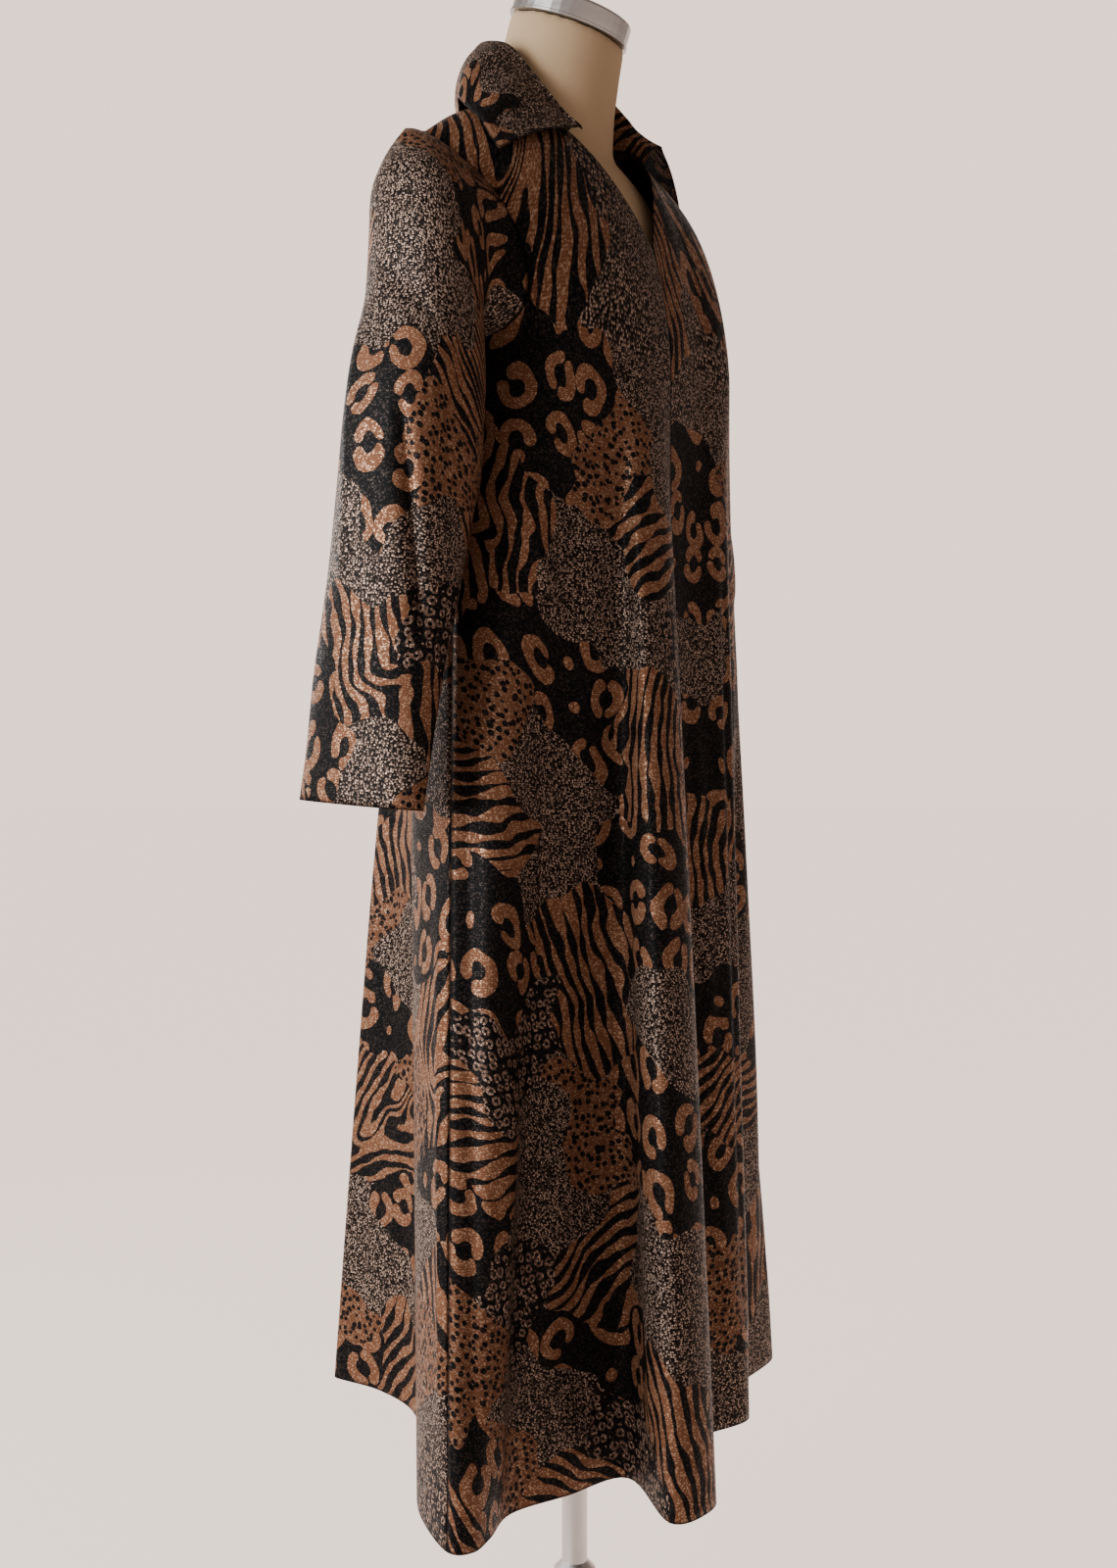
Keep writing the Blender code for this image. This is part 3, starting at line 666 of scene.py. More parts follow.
@dataclass(frozen=True)
class StudioGround:
    """The plain pale ground: mostly its own even light, with a soft shadow left in it."""

    colour: tuple[float, float, float, float]
    own_light: float
    eye: Vector
    away: Vector
    near_share: float = 0.45
    matt: float = 0.16

    def build(self) -> bpy.types.Material:
        """Make the floor's material; it glows most in a broad strip behind the dress."""
        material, g, shader = new_material("studio_floor")
        place = g.add("TexCoord").outputs["Object"]
        depth = g.add("VectorMath", {0: place, 1: self.away}, operation="DOT_PRODUCT")
        foot = Vector((self.eye.x, self.eye.y, 0.0))
        way = g.add("VectorMath", {0: place, 1: foot}, operation="SUBTRACT")
        way = g.add("VectorMath", {0: way.outputs[0]}, operation="NORMALIZE")
        strip = g.add("VectorMath", {0: way.outputs[0], 1: self.away}, operation="DOT_PRODUCT")
        far = g.math("MULTIPLY", g.step(depth.outputs["Value"], -0.7, 0.15),
                     g.step(strip.outputs["Value"], 0.70, 0.925))
        shader.inputs["Base Color"].default_value = (self.matt, self.matt, self.matt, 1)
        shader.inputs["Roughness"].default_value = 1.0
        shader.inputs["Specular IOR Level"].default_value = 0.0
        shader.inputs["Emission Color"].default_value = self.colour
        g.put(shader.inputs["Emission Strength"],
              g.level(far, self.own_light * self.near_share, self.own_light))
        return material


# ---------------------------------------------------------------------------------------
# The dress's form


@dataclass(frozen=True)
class FoldLine:
    """One line down the skirt, from the underarm level to the hem."""

    name: str
    x: float
    y: float
    hem_x: float
    hem_y: float
    hem_z: float


@dataclass
class DressShape:
    """Sizes of the dress and the smooth surface that they make, without its collar."""

    underarm_z: float = 1.360
    v_bottom_z: float = 1.479
    neck_side_x: float = 0.0779
    crowding: float = 1.6
    spread: float = 1.14
    armhole_x: float = 0.176
    armhole_low: float = 0.7
    side_y: float = 0.020
    ridge_y: float = 0.030
    ridge_slope: float = 0.05
    back_neck_rise: float = 0.050
    back_neck_dip: float = 0.16
    flare: float = 0.76
    hang: float = 0.045
    left_fullness: float = 0.7
    left_fullness_x: float = 0.05
    steps: int = 8
    skirt_rows: int = 150
    row_crowding: float = 1.12
    yoke_rows: int = 56
    scoop: dict[str, float] = field(default_factory=lambda: {"front": 0.017, "back": 0.014})
    arcs: dict[str, tuple[float, float]] = field(
        default_factory=lambda: {"front": (1.5, 1.95), "back": (2.2, 2.2)}
    )
    ridge: tuple[tuple[float, float], ...] = (
        (0.000, 1.655), (0.078, 1.629), (0.110, 1.6185), (0.135, 1.6085), (0.155, 1.597),
        (0.175, 1.5825), (0.200, 1.564),
    )
    lines: tuple[FoldLine, ...] = (
        FoldLine("centre_front", 0.000, -0.1180, 0.030, -0.100, 0.232),
        FoldLine("front_right_in", -0.022, -0.1178, -0.020, -0.178, 0.238),
        FoldLine("front_right_tip", -0.045, -0.1163, -0.066, -0.200, 0.243),
        FoldLine("front_right_out", -0.0684, -0.1138, -0.106, -0.180, 0.243),
        FoldLine("right_valley_in", -0.088, -0.1110, -0.052, -0.100, 0.245),
        FoldLine("right_valley_mid", -0.108, -0.1060, -0.110, -0.066, 0.240),
        FoldLine("right_valley_out", -0.128, -0.0980, -0.166, -0.040, 0.237),
        FoldLine("right_fold_front", -0.150, -0.0810, -0.224, -0.060, 0.242),
        FoldLine("right_fold_nose", -0.167, -0.0490, -0.258, -0.066, 0.244),
        FoldLine("side_right", -0.176, 0.0200, -0.272, -0.048, 0.245),
        FoldLine("right_fold_back", -0.167, 0.0750, -0.240, 0.005, 0.243),
        FoldLine("right_fold_rear", -0.150, 0.1040, -0.196, 0.052, 0.238),
        FoldLine("back_right_valley", -0.128, 0.1240, -0.120, 0.112, 0.236),
        FoldLine("back_right_in", -0.108, 0.1340, -0.062, 0.168, 0.250),
        FoldLine("back_right_side", -0.088, 0.1410, -0.057, 0.222, 0.262),
        FoldLine("back_right_tip", -0.0684, 0.1455, -0.064, 0.284, 0.266),
        FoldLine("back_right_out", -0.045, 0.1480, -0.030, 0.270, 0.262),
        FoldLine("centre_back", 0.000, 0.1500, 0.008, 0.225, 0.250),
        FoldLine("back_left_out", 0.045, 0.1480, 0.050, 0.262, 0.258),
        FoldLine("back_left_tip", 0.0684, 0.1455, 0.090, 0.272, 0.262),
        FoldLine("back_left_side", 0.088, 0.1410, 0.098, 0.205, 0.250),
        FoldLine("back_left_in", 0.108, 0.1340, 0.108, 0.150, 0.240),
        FoldLine("back_left_valley", 0.128, 0.1240, 0.160, 0.105, 0.236),
        FoldLine("left_fold_rear", 0.150, 0.1040, 0.232, 0.070, 0.238),
        FoldLine("left_fold_back", 0.167, 0.0750, 0.292, 0.020, 0.243),
        FoldLine("side_left", 0.176, 0.0200, 0.333, -0.042, 0.248),
        FoldLine("left_fold_nose", 0.167, -0.0680, 0.316, -0.070, 0.247),
        FoldLine("left_fold_front", 0.150, -0.1000, 0.258, -0.066, 0.240),
        FoldLine("left_valley", 0.128, -0.1150, 0.205, -0.058, 0.235),
        FoldLine("front_left_out", 0.108, -0.1180, 0.182, -0.105, 0.238),
        FoldLine("front_left_tip", 0.088, -0.1170, 0.150, -0.124, 0.240),
        FoldLine("front_left_in", 0.0684, -0.1150, 0.112, -0.104, 0.236),
        FoldLine("front_left_edge", 0.045, -0.1163, 0.084, -0.086, 0.233),
        FoldLine("centre_valley", 0.022, -0.1178, 0.056, -0.086, 0.232),
    )

    def __post_init__(self) -> None:
        """Work out the curves that every piece shares."""
        self.bust = closed_spline([(a.x, a.y) for a in self.lines], self.steps)
        self.hem = closed_spline([(a.hem_x, a.hem_y, a.hem_z) for a in self.lines], self.steps)
        self.slope = open_spline(np.array(self.ridge), self.steps)
        front = self.bust[:, 1] < self.side_y
        self.plan = {}
        for side, half in (("front", self.bust[front]), ("back", self.bust[~front])):
            self.plan[side] = half[np.argsort(half[:, 0])]

    def column(self, name: str) -> int:
        """Number of the column that follows a fold line."""
        return [line.name for line in self.lines].index(name) * self.steps

    def columns(self, piece: str) -> NDArray[np.int64]:
        """Numbers of a piece's columns, on from the centre front by the wearer's right."""
        right, left = self.column("side_right"), self.column("side_left")
        count = len(self.bust)
        spans = {
            "front_right": range(0, right + 1),
            "back": range(right, left + 1),
            "front_left": range(left, count + 1),
        }
        return np.array(spans[piece]) % count

    def ridge_height(self, x: Points) -> Points:
        """Height of the shoulder line at a distance from the middle."""
        return np.interp(np.abs(x), self.slope[:, 0], self.slope[:, 1])

    def torso(self, side: str, x: Points, share: Points) -> Points:
        """Points on the smooth surface over chest, shoulders and back.

        Args:
            side: front or back.
            x: Distances from the middle, measured at the underarm level.
            share: How far up to the shoulder line, from 0 to 1.

        Returns:
            The points.
        """
        plan = self.plan[side]
        y_low = np.interp(x, plan[:, 0], plan[:, 1])
        top = x * self.spread
        z_top = self.ridge_height(top)
        if side == "back":
            z_top = z_top + self.back_neck_rise * np.maximum(0, 1 - (top / self.neck_side_x) ** 2)
        power, root = self.arcs[side]
        if side == "front":
            root = root + self.left_fullness * smooth_step(x / self.left_fullness_x)
        reach = np.maximum(0, 1 - share**power) ** (1 / root)
        y_top = self.ridge_y + self.ridge_slope * np.abs(top)
        return np.stack([
            x * (1 + (self.spread - 1) * share),
            y_top - (y_top - y_low) * reach,
            self.underarm_z + (z_top - self.underarm_z) * share,
        ], axis=-1)

    def neck_share(self, side: str, x: Points) -> Points:
        """How far up the neck opening lets a column reach."""
        top = np.abs(x) * self.spread
        if side == "back":
            reach = 1 - self.back_neck_dip * (1 - (top / self.neck_side_x) ** 2)
        else:
            rise = self.ridge_height(np.array(self.neck_side_x)) - self.v_bottom_z
            height = self.v_bottom_z + rise * top / self.neck_side_x
            reach = (height - self.underarm_z) / (self.ridge_height(top) - self.underarm_z)
        return np.where(top >= self.neck_side_x, 1.0, reach)

    def grid(self, piece: str) -> Points:
        """Grid of points of a front or the back, from the hem up.

        Args:
            piece: front_right, front_left or back.

        Returns:
            Points by row and column.
        """
        side = "back" if piece == "back" else "front"
        numbers = self.columns(piece)
        bust, hem = self.bust[numbers], self.hem[numbers]
        down = (np.arange(self.skirt_rows, -1, -1) / self.skirt_rows)[:, None] ** self.row_crowding
        flare = (down**self.flare * (1 - np.exp(-down / self.hang)))[..., None]
        plan = bust + (hem[:, :2] - bust) * flare
        z = self.underarm_z + (hem[:, 2] - self.underarm_z) * down
        skirt = np.concatenate([plan, z[..., None]], axis=-1)

        up = (1 - np.cos(np.pi * np.arange(1, self.yoke_rows + 1) / self.yoke_rows)) / 2
        up = up[:, None]
        hole = self.armhole_x - self.scoop[side] * np.sin(np.pi * up**self.armhole_low)
        x = bust[:, 0] / self.armhole_x * hole
        neck = self.neck_side_x / self.spread
        at = np.minimum(1, np.abs(x) / neck)
        x = x + np.sign(x) * neck * (1 - (1 - at) ** self.crowding - at) * up**2
        yoke = self.torso(side, x, up * self.neck_share(side, x))
        return np.concatenate([skirt, yoke])

    def armhole(self, grids: dict[str, Points], hand: Hand, count: int) -> Points:
        """Evenly spaced points round an armhole, from the shoulder by the front.

        Args:
            grids: The grids of the fronts and the back.
            hand: Which armhole.
            count: How many points.

        Returns:
            The points.
        """
        right = hand is Hand.RIGHT
        front = grids[f"front_{hand.value}"][self.skirt_rows :, -1 if right else 0]
        back = grids["back"][self.skirt_rows :, 0 if right else -1]
        loop = np.vstack([front[::-1], back[1:]])
        run = run_lengths(loop, 0)
        even = np.linspace(0, run[-1], count + 1)[:-1]
        return np.stack([np.interp(even, run, loop[:, k]) for k in range(3)], axis=-1)


@dataclass
class SleeveShape:
    """A wide straight sleeve, from the armhole to the cuff."""

    rings: tuple[tuple[float, ...], ...] = (
        (-0.232, 1.544, -0.191, 1.360, 0.024, 0.068),
        (-0.258, 1.522, -0.198, 1.350, 0.014, 0.062),
        (-0.275, 1.500, -0.199, 1.334, 0.006, 0.056),
        (-0.284, 1.455, -0.199, 1.312, 0.002, 0.055),
        (-0.288, 1.400, -0.199, 1.285, 0.002, 0.057),
        (-0.300, 1.345, -0.200, 1.255, 0.004, 0.060),
        (-0.312, 1.285, -0.200, 1.219, 0.006, 0.061),
        (-0.313, 1.205, -0.206, 1.169, 0.014, 0.061),
        (-0.311, 1.120, -0.217, 1.107, 0.024, 0.063),
        (-0.309, 1.035, -0.236, 1.030, 0.035, 0.067),
        (-0.306, 0.965, -0.252, 0.963, 0.041, 0.069),
        (-0.306, 0.915, -0.264, 0.914, 0.045, 0.071),
    )
    squareness: float = 2.4
    blend: tuple[float, ...] = (0.45, 0.15)
    left_shift: tuple[float, float] = (0.021, 0.036)
    shift_rings: int = 4
    columns: int = 112
    cuff_drop: float = 0.005
    steps: int = 8

    def grid(self, loop: Points, hand: Hand) -> Points:
        """Grid of points from the armhole down to the cuff.

        Args:
            loop: Evenly spaced points of the armhole.
            hand: Which sleeve.

        Returns:
            Points by row and column; the last column joins the first.
        """
        turns = np.arange(len(loop)) / len(loop) * 2 * np.pi
        rows = [loop]
        for index, (x_out, z_out, x_in, z_in, y_mid, half) in enumerate(self.rings):
            outer, inner = np.array([x_out, y_mid, z_out]), np.array([x_in, y_mid, z_in])
            drop = self.cuff_drop * index / len(self.rings)
            forward = np.array([0, -half, -drop])
            shape = [
                np.sign(wave) * np.abs(wave) ** (2 / self.squareness)
                for wave in (np.cos(turns), np.sin(turns))
            ]
            ring = (outer + inner) / 2 + np.outer(shape[0], (outer - inner) / 2)
            ring = ring + np.outer(shape[1], forward)
            if hand is Hand.LEFT:
                out, back = np.array(self.left_shift) * min(1, index / self.shift_rings)
                ring = ring * (-1, 1, 1) + (out, back, 0)
            if index < len(self.blend):
                shift = ring.mean(axis=0) - loop.mean(axis=0)
                ring = ring + self.blend[index] * (loop + shift - ring)
            rows.append(ring)
        flat = np.array(rows).reshape(len(rows), -1)
        return open_spline(flat, self.steps).reshape(-1, len(loop), 3)


@dataclass
class CollarShape:
    """The pointed collar: stand, roll and fall in one folded piece."""

    right: tuple[tuple, ...] = (
        (0.0605, "front", -0.0620, -0.0484, 1.5935, -0.1735, -0.0314, 1.5395, 0.005),
        (0.0670, "front", -0.0660, -0.0310, 1.6110, -0.1690, -0.0160, 1.5590, 0.008),
        (0.0730, "front", -0.0740, -0.0150, 1.6340, -0.1660, -0.0020, 1.5790, 0.010),
        (0.0775, "front", -0.0800, 0.0060, 1.6620, -0.1560, 0.0210, 1.5985, 0.010),
        (0.0760, "back", -0.0830, 0.0280, 1.6870, -0.1470, 0.0390, 1.6150, 0.010),
        (0.0680, "back", -0.0830, 0.0560, 1.6965, -0.1190, 0.0605, 1.6220, 0.010),
        (0.0520, "back", -0.0680, 0.0800, 1.6985, -0.0790, 0.0890, 1.6220, 0.010),
        (0.0280, "back", -0.0370, 0.0985, 1.7080, -0.0460, 0.1130, 1.6300, 0.010),
        (0.0000, "back", 0.0000, 0.1060, 1.7110, 0.0000, 0.1210, 1.6330, 0.010),
    )
    left: tuple[tuple, ...] = (
        (0.0605, "front", -0.0800, -0.0585, 1.6155, -0.1700, -0.0310, 1.5640, 0.010),
        (0.0670, "front", -0.0830, -0.0405, 1.6281, -0.1700, -0.0180, 1.5760, 0.010),
        (0.0730, "front", -0.0840, -0.0237, 1.6431, -0.1640, 0.0060, 1.5920, 0.010),
        (0.0775, "front", -0.0850, -0.0089, 1.6609, -0.1560, 0.0230, 1.6030, 0.010),
        (0.0760, "back", -0.0850, 0.0150, 1.6840, -0.1470, 0.0400, 1.6150, 0.010),
    )
    roll: float = 0.0032
    bow: float = 0.006
    gap: float = 0.0005
    steps: int = 12
    profile_steps: int = 5

    def half(self, dress: DressShape, stations: tuple[tuple, ...], hand: int) -> Points:
        """Seam, roll, edge and crown along half the collar.

        Args:
            dress: The shape that the collar is sewn to.
            stations: The half's stations, given for the wearer's right.
            hand: -1 for the wearer's right and 1 for the left.

        Returns:
            A row for each step, from the front edge to the centre back.
        """
        rows = []
        for neck_x, side, *places, crown in stations:
            x = np.array(hand * neck_x / dress.spread)
            seam = dress.torso(side, x, dress.neck_share(side, x)) + (0, 0, self.gap)
            roll, edge = np.array(places).reshape(2, 3) * (-hand, 1, 1)
            rows.append(np.concatenate([seam, roll, edge, [crown]]))
        return open_spline(np.array(rows), self.steps)

    def grid(self, dress: DressShape) -> Points:
        """Grid of points from the neckline up, over the roll and down to the edge.

        Args:
            dress: The shape that the collar is sewn to.

        Returns:
            Points by row (along the neckline) and column (across the collar).
        """
        right = self.half(dress, self.right, -1)
        left = self.half(dress, self.left + self.right[len(self.left):], 1)
        up = np.array([0, 0, 1.0])
        grid = []
        for row in np.vstack([right, left[-2::-1]]):
            seam, roll, edge = row[:9].reshape(3, 3)
            fall = edge - roll
            out = fall * (1, 1, 0) / np.linalg.norm(fall[:2])
            crown = np.cross(np.cross(fall, up), fall)
            crown *= row[9] / np.linalg.norm(crown)
            start, inside = roll + out * self.roll, roll - out * self.roll
            corners = np.array([
                seam, (seam + inside) / 2 + up * self.bow, inside, roll + up * self.roll, start,
                start + (edge - start) / 3 + crown, start + (edge - start) * 2 / 3 + crown, edge,
            ])
            grid.append(open_spline(corners, self.profile_steps))
        return np.array(grid)


# ---------------------------------------------------------------------------------------
# Cloth pieces


@dataclass
class Cloth:
    """A cut piece of cloth: its outer surface and the place of each point on the flat cloth."""

    name: str
    grid: Points
    flat: Points
    closed: bool = False

    @property
    def places(self) -> Points:
        """Every point's place in space, one a row."""
        return self.grid.reshape(-1, 3)

    @property
    def cloth(self) -> Points:
        """Every point's place on the flat cloth, one a row."""
        return self.flat.reshape(-1, 2)

    def quads(self) -> list[tuple[int, int, int, int]]:
        """The faces, as point numbers."""
        rows, columns = self.grid.shape[:2]
        last = columns if self.closed else columns - 1
        return [
            (r * columns + c, r * columns + (c + 1) % columns,
             (r + 1) * columns + (c + 1) % columns, (r + 1) * columns + c)
            for r in range(rows - 1)
            for c in range(last)
        ]

    def area(self) -> float:
        """Area of the piece's surface, in square metres."""
        grid = np.concatenate([self.grid, self.grid[:, :1]], axis=1) if self.closed else self.grid
        one = grid[1:, 1:] - grid[:-1, :-1]
        other = grid[1:, :-1] - grid[:-1, 1:]
        return float(np.linalg.norm(np.cross(one, other), axis=-1).sum() / 2)

    def edge(self) -> Points:
        """Distance of each point from the nearest side of its piece, one a row."""
        ways = []
        for axis in (0,) if self.closed else (0, 1):
            run = run_lengths(self.grid, axis)
            ways += [run, run.max(axis=axis, keepdims=True) - run]
        return np.minimum.reduce(ways).reshape(-1)

    def outward(self) -> Points:
        """Unit normals that face away from the wearer, by row and column."""
        normals = grid_normals(self.grid, self.closed)
        middle = self.grid.mean(axis=1, keepdims=True) if self.closed else np.array(BODY_AXIS)
        way = np.sign(((self.grid - middle) * (1, 1, 0) * normals).sum(axis=-1).mean())
        return normals * way


def lay_flat(grid: Points, centre: int, closed: bool = False) -> Points:
    """Place of each point of a piece on its flat cloth.

    Args:
        grid: Points by row and column.
        centre: The column that lies straight on the cloth.
        closed: Whether the last column joins the first.

    Returns:
        Metres across, to the right as seen from outside, and metres up.
    """
    across = run_lengths(grid, 1)
    across = across[:, centre : centre + 1] - across
    up = np.abs(run_lengths(grid, 0))
    if closed:
        up = up[-1:] - up
    up = np.repeat(up[:, centre : centre + 1], grid.shape[1], axis=1)
    return np.stack([across, up], axis=-1)


# The print's patches that the photograph shows, by the pixel of their middle; zebra patches
# have the lie of their stripes too, in degrees from upright
SEEN_PATCHES = {
    Patch.SPECKLE: (
        (430, 190), (450, 270), (415, 310), (645, 230), (640, 300), (660, 370), (355, 545),
        (448, 560), (600, 590), (640, 640), (458, 770), (565, 800), (570, 880), (385, 775),
        (700, 670), (755, 790), (410, 980), (675, 1040), (545, 1170), (560, 1230), (735, 930),
        (755, 1000), (765, 1180), (375, 1280), (360, 1230), (430, 1240), (670, 1300), (700, 1370),
        (775, 1370), (450, 1450), (540, 1420), (580, 1450), (745, 1430), (722, 380), (715, 420),
        (545, 90), (530, 130), (500, 60),
    ),
    Patch.ROSETTE: (
        (550, 320), (590, 370), (535, 390), (390, 380), (385, 500), (565, 455), (520, 640),
        (560, 690), (610, 740), (650, 860), (440, 860), (440, 950), (322, 740), (712, 480),
        (715, 580), (715, 750), (385, 1030), (515, 950), (505, 990), (670, 960), (680, 930),
        (650, 1120), (690, 1190), (725, 1050), (735, 1200), (405, 1240), (445, 1220), (370, 1390),
        (585, 1370), (630, 1390), (490, 1530), (688, 230), (490, 90), (500, 130),
    ),
    Patch.ZEBRA: (
        (484, 160, -35), (562, 200, 8), (575, 260, 0), (475, 375, 60), (380, 660, 12),
        (420, 730, 0), (505, 500, 15), (490, 580, 0), (655, 540, 55), (655, 740, 20),
        (655, 820, 5), (498, 830, 88), (390, 870, -15), (745, 590, 60), (715, 870, 0),
        (380, 1110, 40), (400, 1170, 65), (440, 1050, 15), (450, 1130, 0), (585, 960, -8),
        (610, 1030, -5), (490, 1160, 80), (740, 1110, 50), (768, 1120, 80), (450, 1320, -35),
        (605, 1280, 55), (590, 1320, 75), (768, 1290, -5), (400, 1400, 20), (690, 1440, -15),
        (710, 1510, 0), (580, 1500, -60), (465, 1560, -20), (690, 310, 0), (655, 160, 20),
    ),
    Patch.OCELOT: (
        (452, 480), (620, 480), (488, 700), (385, 960), (605, 1150), (745, 1310), (350, 1330),
        (438, 1390), (525, 1500),
    ),
    Patch.BUD: (
        (605, 170), (443, 645), (540, 1060), (520, 1100), (525, 1310), (530, 1340), (640, 1450),
        (660, 1520), (437, 1540),
    ),
}


class Sight:
    """Finds the place on the cloth that shows at a pixel of the photograph."""

    def __init__(self, camera: PhotoCamera, pieces: list[Cloth]) -> None:
        """Make a search tree of every piece."""
        self.camera, self.pieces = camera, pieces
        self.trees = [BVHTree.FromPolygons(p.places.tolist(), p.quads()) for p in pieces]

    def find(self, across: float, down: float) -> tuple[str, float, float] | None:
        """The cloth behind a pixel.

        Args:
            across: Pixels from the picture's left edge.
            down: Pixels from its top edge.

        Returns:
            The piece's name and the metres across and up on its flat cloth, or None.
        """
        eye, way = self.camera.place, self.camera.ray(across, down)
        hits = []
        for piece, tree in zip(self.pieces, self.trees):
            place, _, _, distance = tree.ray_cast(eye, way)
            if place is not None:
                hits.append((distance, piece, np.array(place)))
        if not hits:
            return None
        _, piece, place = min(hits, key=lambda hit: hit[0])
        nearest = np.argmin(((piece.places - place) ** 2).sum(axis=1))
        return piece.name, *piece.cloth[nearest]


@dataclass(frozen=True)
class Crease:
    """A soft trough of the cloth, or a ridge where its depth is below 0.

    Its ends are pixels of the photograph, or shares of the cut's width and length where the
    photograph hides it.
    """

    start: tuple[float, float]
    end: tuple[float, float]
    width: float
    depth: float


SEEN_CREASES = (
    Crease((409, 390), (432, 660), 0.007, 0.0085),
    Crease((431, 600), (440, 815), 0.009, 0.0070),
    Crease((350, 560), (420, 600), 0.008, 0.0025),
    Crease((345, 640), (410, 655), 0.010, 0.0020),
    Crease((395, 270), (440, 330), 0.012, 0.0030),
    Crease((380, 430), (415, 470), 0.009, 0.0025),
    Crease((475, 300), (448, 520), 0.014, 0.0040),
    Crease((375, 300), (352, 620), 0.010, -0.0030),
    Crease((474, 705), (483, 1530), 0.011, 0.0085),
    Crease((452, 860), (455, 1480), 0.012, -0.0050),
    Crease((407, 840), (420, 1450), 0.009, 0.0075),
    Crease((386, 860), (380, 1400), 0.010, -0.0035),
    Crease((560, 560), (512, 1100), 0.020, 0.0045),
    Crease((520, 1050), (505, 1540), 0.020, -0.0050),
    Crease((600, 820), (590, 1480), 0.024, 0.0055),
    Crease((645, 700), (665, 1500), 0.018, -0.0045),
    Crease((690, 600), (726, 1500), 0.009, 0.0050),
    Crease((705, 640), (745, 1400), 0.010, -0.0040),
    Crease((735, 492), (761, 1380), 0.008, 0.0050),
    Crease((672, 260), (684, 560), 0.007, 0.0030),
    Crease((540, 430), (610, 500), 0.016, -0.0030),
    Crease((505, 470), (570, 640), 0.014, -0.0035),
)
HIDDEN_CREASES = {
    "back": (
        Crease((0.30, 0.62), (0.24, 0.02), 0.016, 0.0055),
        Crease((0.38, 0.70), (0.36, 0.02), 0.018, -0.0045),
        Crease((0.50, 0.66), (0.49, 0.04), 0.012, 0.0050),
        Crease((0.62, 0.72), (0.66, 0.02), 0.018, -0.0045),
        Crease((0.70, 0.60), (0.76, 0.02), 0.014, 0.0055),
        Crease((0.42, 0.93), (0.58, 0.80), 0.016, -0.0030),
        Crease((0.36, 0.84), (0.44, 0.66), 0.014, 0.0030),
        Crease((0.60, 0.86), (0.55, 0.68), 0.013, 0.0030),
    ),
    "front_left": (
        Crease((0.55, 0.68), (0.62, 0.02), 0.014, 0.0050),
        Crease((0.42, 0.60), (0.45, 0.02), 0.014, -0.0045),
        Crease((0.75, 0.64), (0.84, 0.04), 0.012, 0.0045),
        Crease((0.60, 0.86), (0.48, 0.72), 0.013, -0.0030),
    ),
    "sleeve_left": (
        Crease((0.30, 0.86), (0.26, 0.05), 0.009, 0.0050),
        Crease((0.50, 0.90), (0.55, 0.10), 0.012, -0.0035),
        Crease((0.72, 0.80), (0.68, 0.06), 0.009, 0.0045),
        Crease((0.35, 0.55), (0.55, 0.48), 0.009, 0.0025),
        Crease((0.45, 0.38), (0.66, 0.42), 0.010, 0.0020),
    ),
    "sleeve_right": (
        Crease((0.10, 0.80), (0.14, 0.05), 0.010, 0.0045),
        Crease((0.90, 0.84), (0.86, 0.06), 0.010, 0.0040),
    ),
}


@dataclass
class Drape:
    """Presses the creases into the cloth."""

    start_fade: float = 0.25
    end_fade: float = 0.10
    border: float = 0.014

    def lines(self, sight: Sight) -> dict[str, list[tuple]]:
        """Every crease on its flat cloth.

        Args:
            sight: Finds the cloth behind a pixel.

        Returns:
            By piece, the start, the end, the width and the depth of each crease.
        """
        found = {piece.name: [] for piece in sight.pieces}
        for crease in SEEN_CREASES:
            ends = [sight.find(*pixel) for pixel in (crease.start, crease.end)]
            if None in ends or ends[0][0] != ends[1][0]:
                LOG.info("crease at %s leaves its piece", crease.start)
                continue
            found[ends[0][0]].append((ends[0][1:], ends[1][1:], crease.width, crease.depth))
        for piece in sight.pieces:
            low, size = piece.flat.min(axis=(0, 1)), np.ptp(piece.flat, axis=(0, 1))
            for crease in HIDDEN_CREASES.get(piece.name, ()):
                ends = [low + size * np.array(end) for end in (crease.start, crease.end)]
                found[piece.name].append((*ends, crease.width, crease.depth))
        return found

    def press(self, piece: Cloth, lines: list[tuple]) -> None:
        """Move a piece's points in at its troughs and out at its ridges.

        Args:
            piece: The piece.
            lines: The start, the end, the width and the depth of each of its creases.
        """
        depth = np.zeros(piece.flat.shape[:2])
        for start, end, width, deep in lines:
            start, way = np.array(start), np.array(end) - np.array(start)
            along = np.clip(((piece.flat - start) @ way) / (way @ way), 0, 1)
            away = np.linalg.norm(piece.flat - start - along[..., None] * way, axis=-1)
            fade = smooth_step(along / self.start_fade) * smooth_step((1 - along) / self.end_fade)
            depth += deep * np.exp(-((away / width) ** 2)) * fade
        run = run_lengths(piece.grid, 1)
        sides = np.minimum(run, run.max(axis=1, keepdims=True) - run)
        inner = 1.0 if piece.closed else smooth_step(sides / self.border)
        piece.grid = piece.grid - piece.outward() * (depth * inner)[..., None]


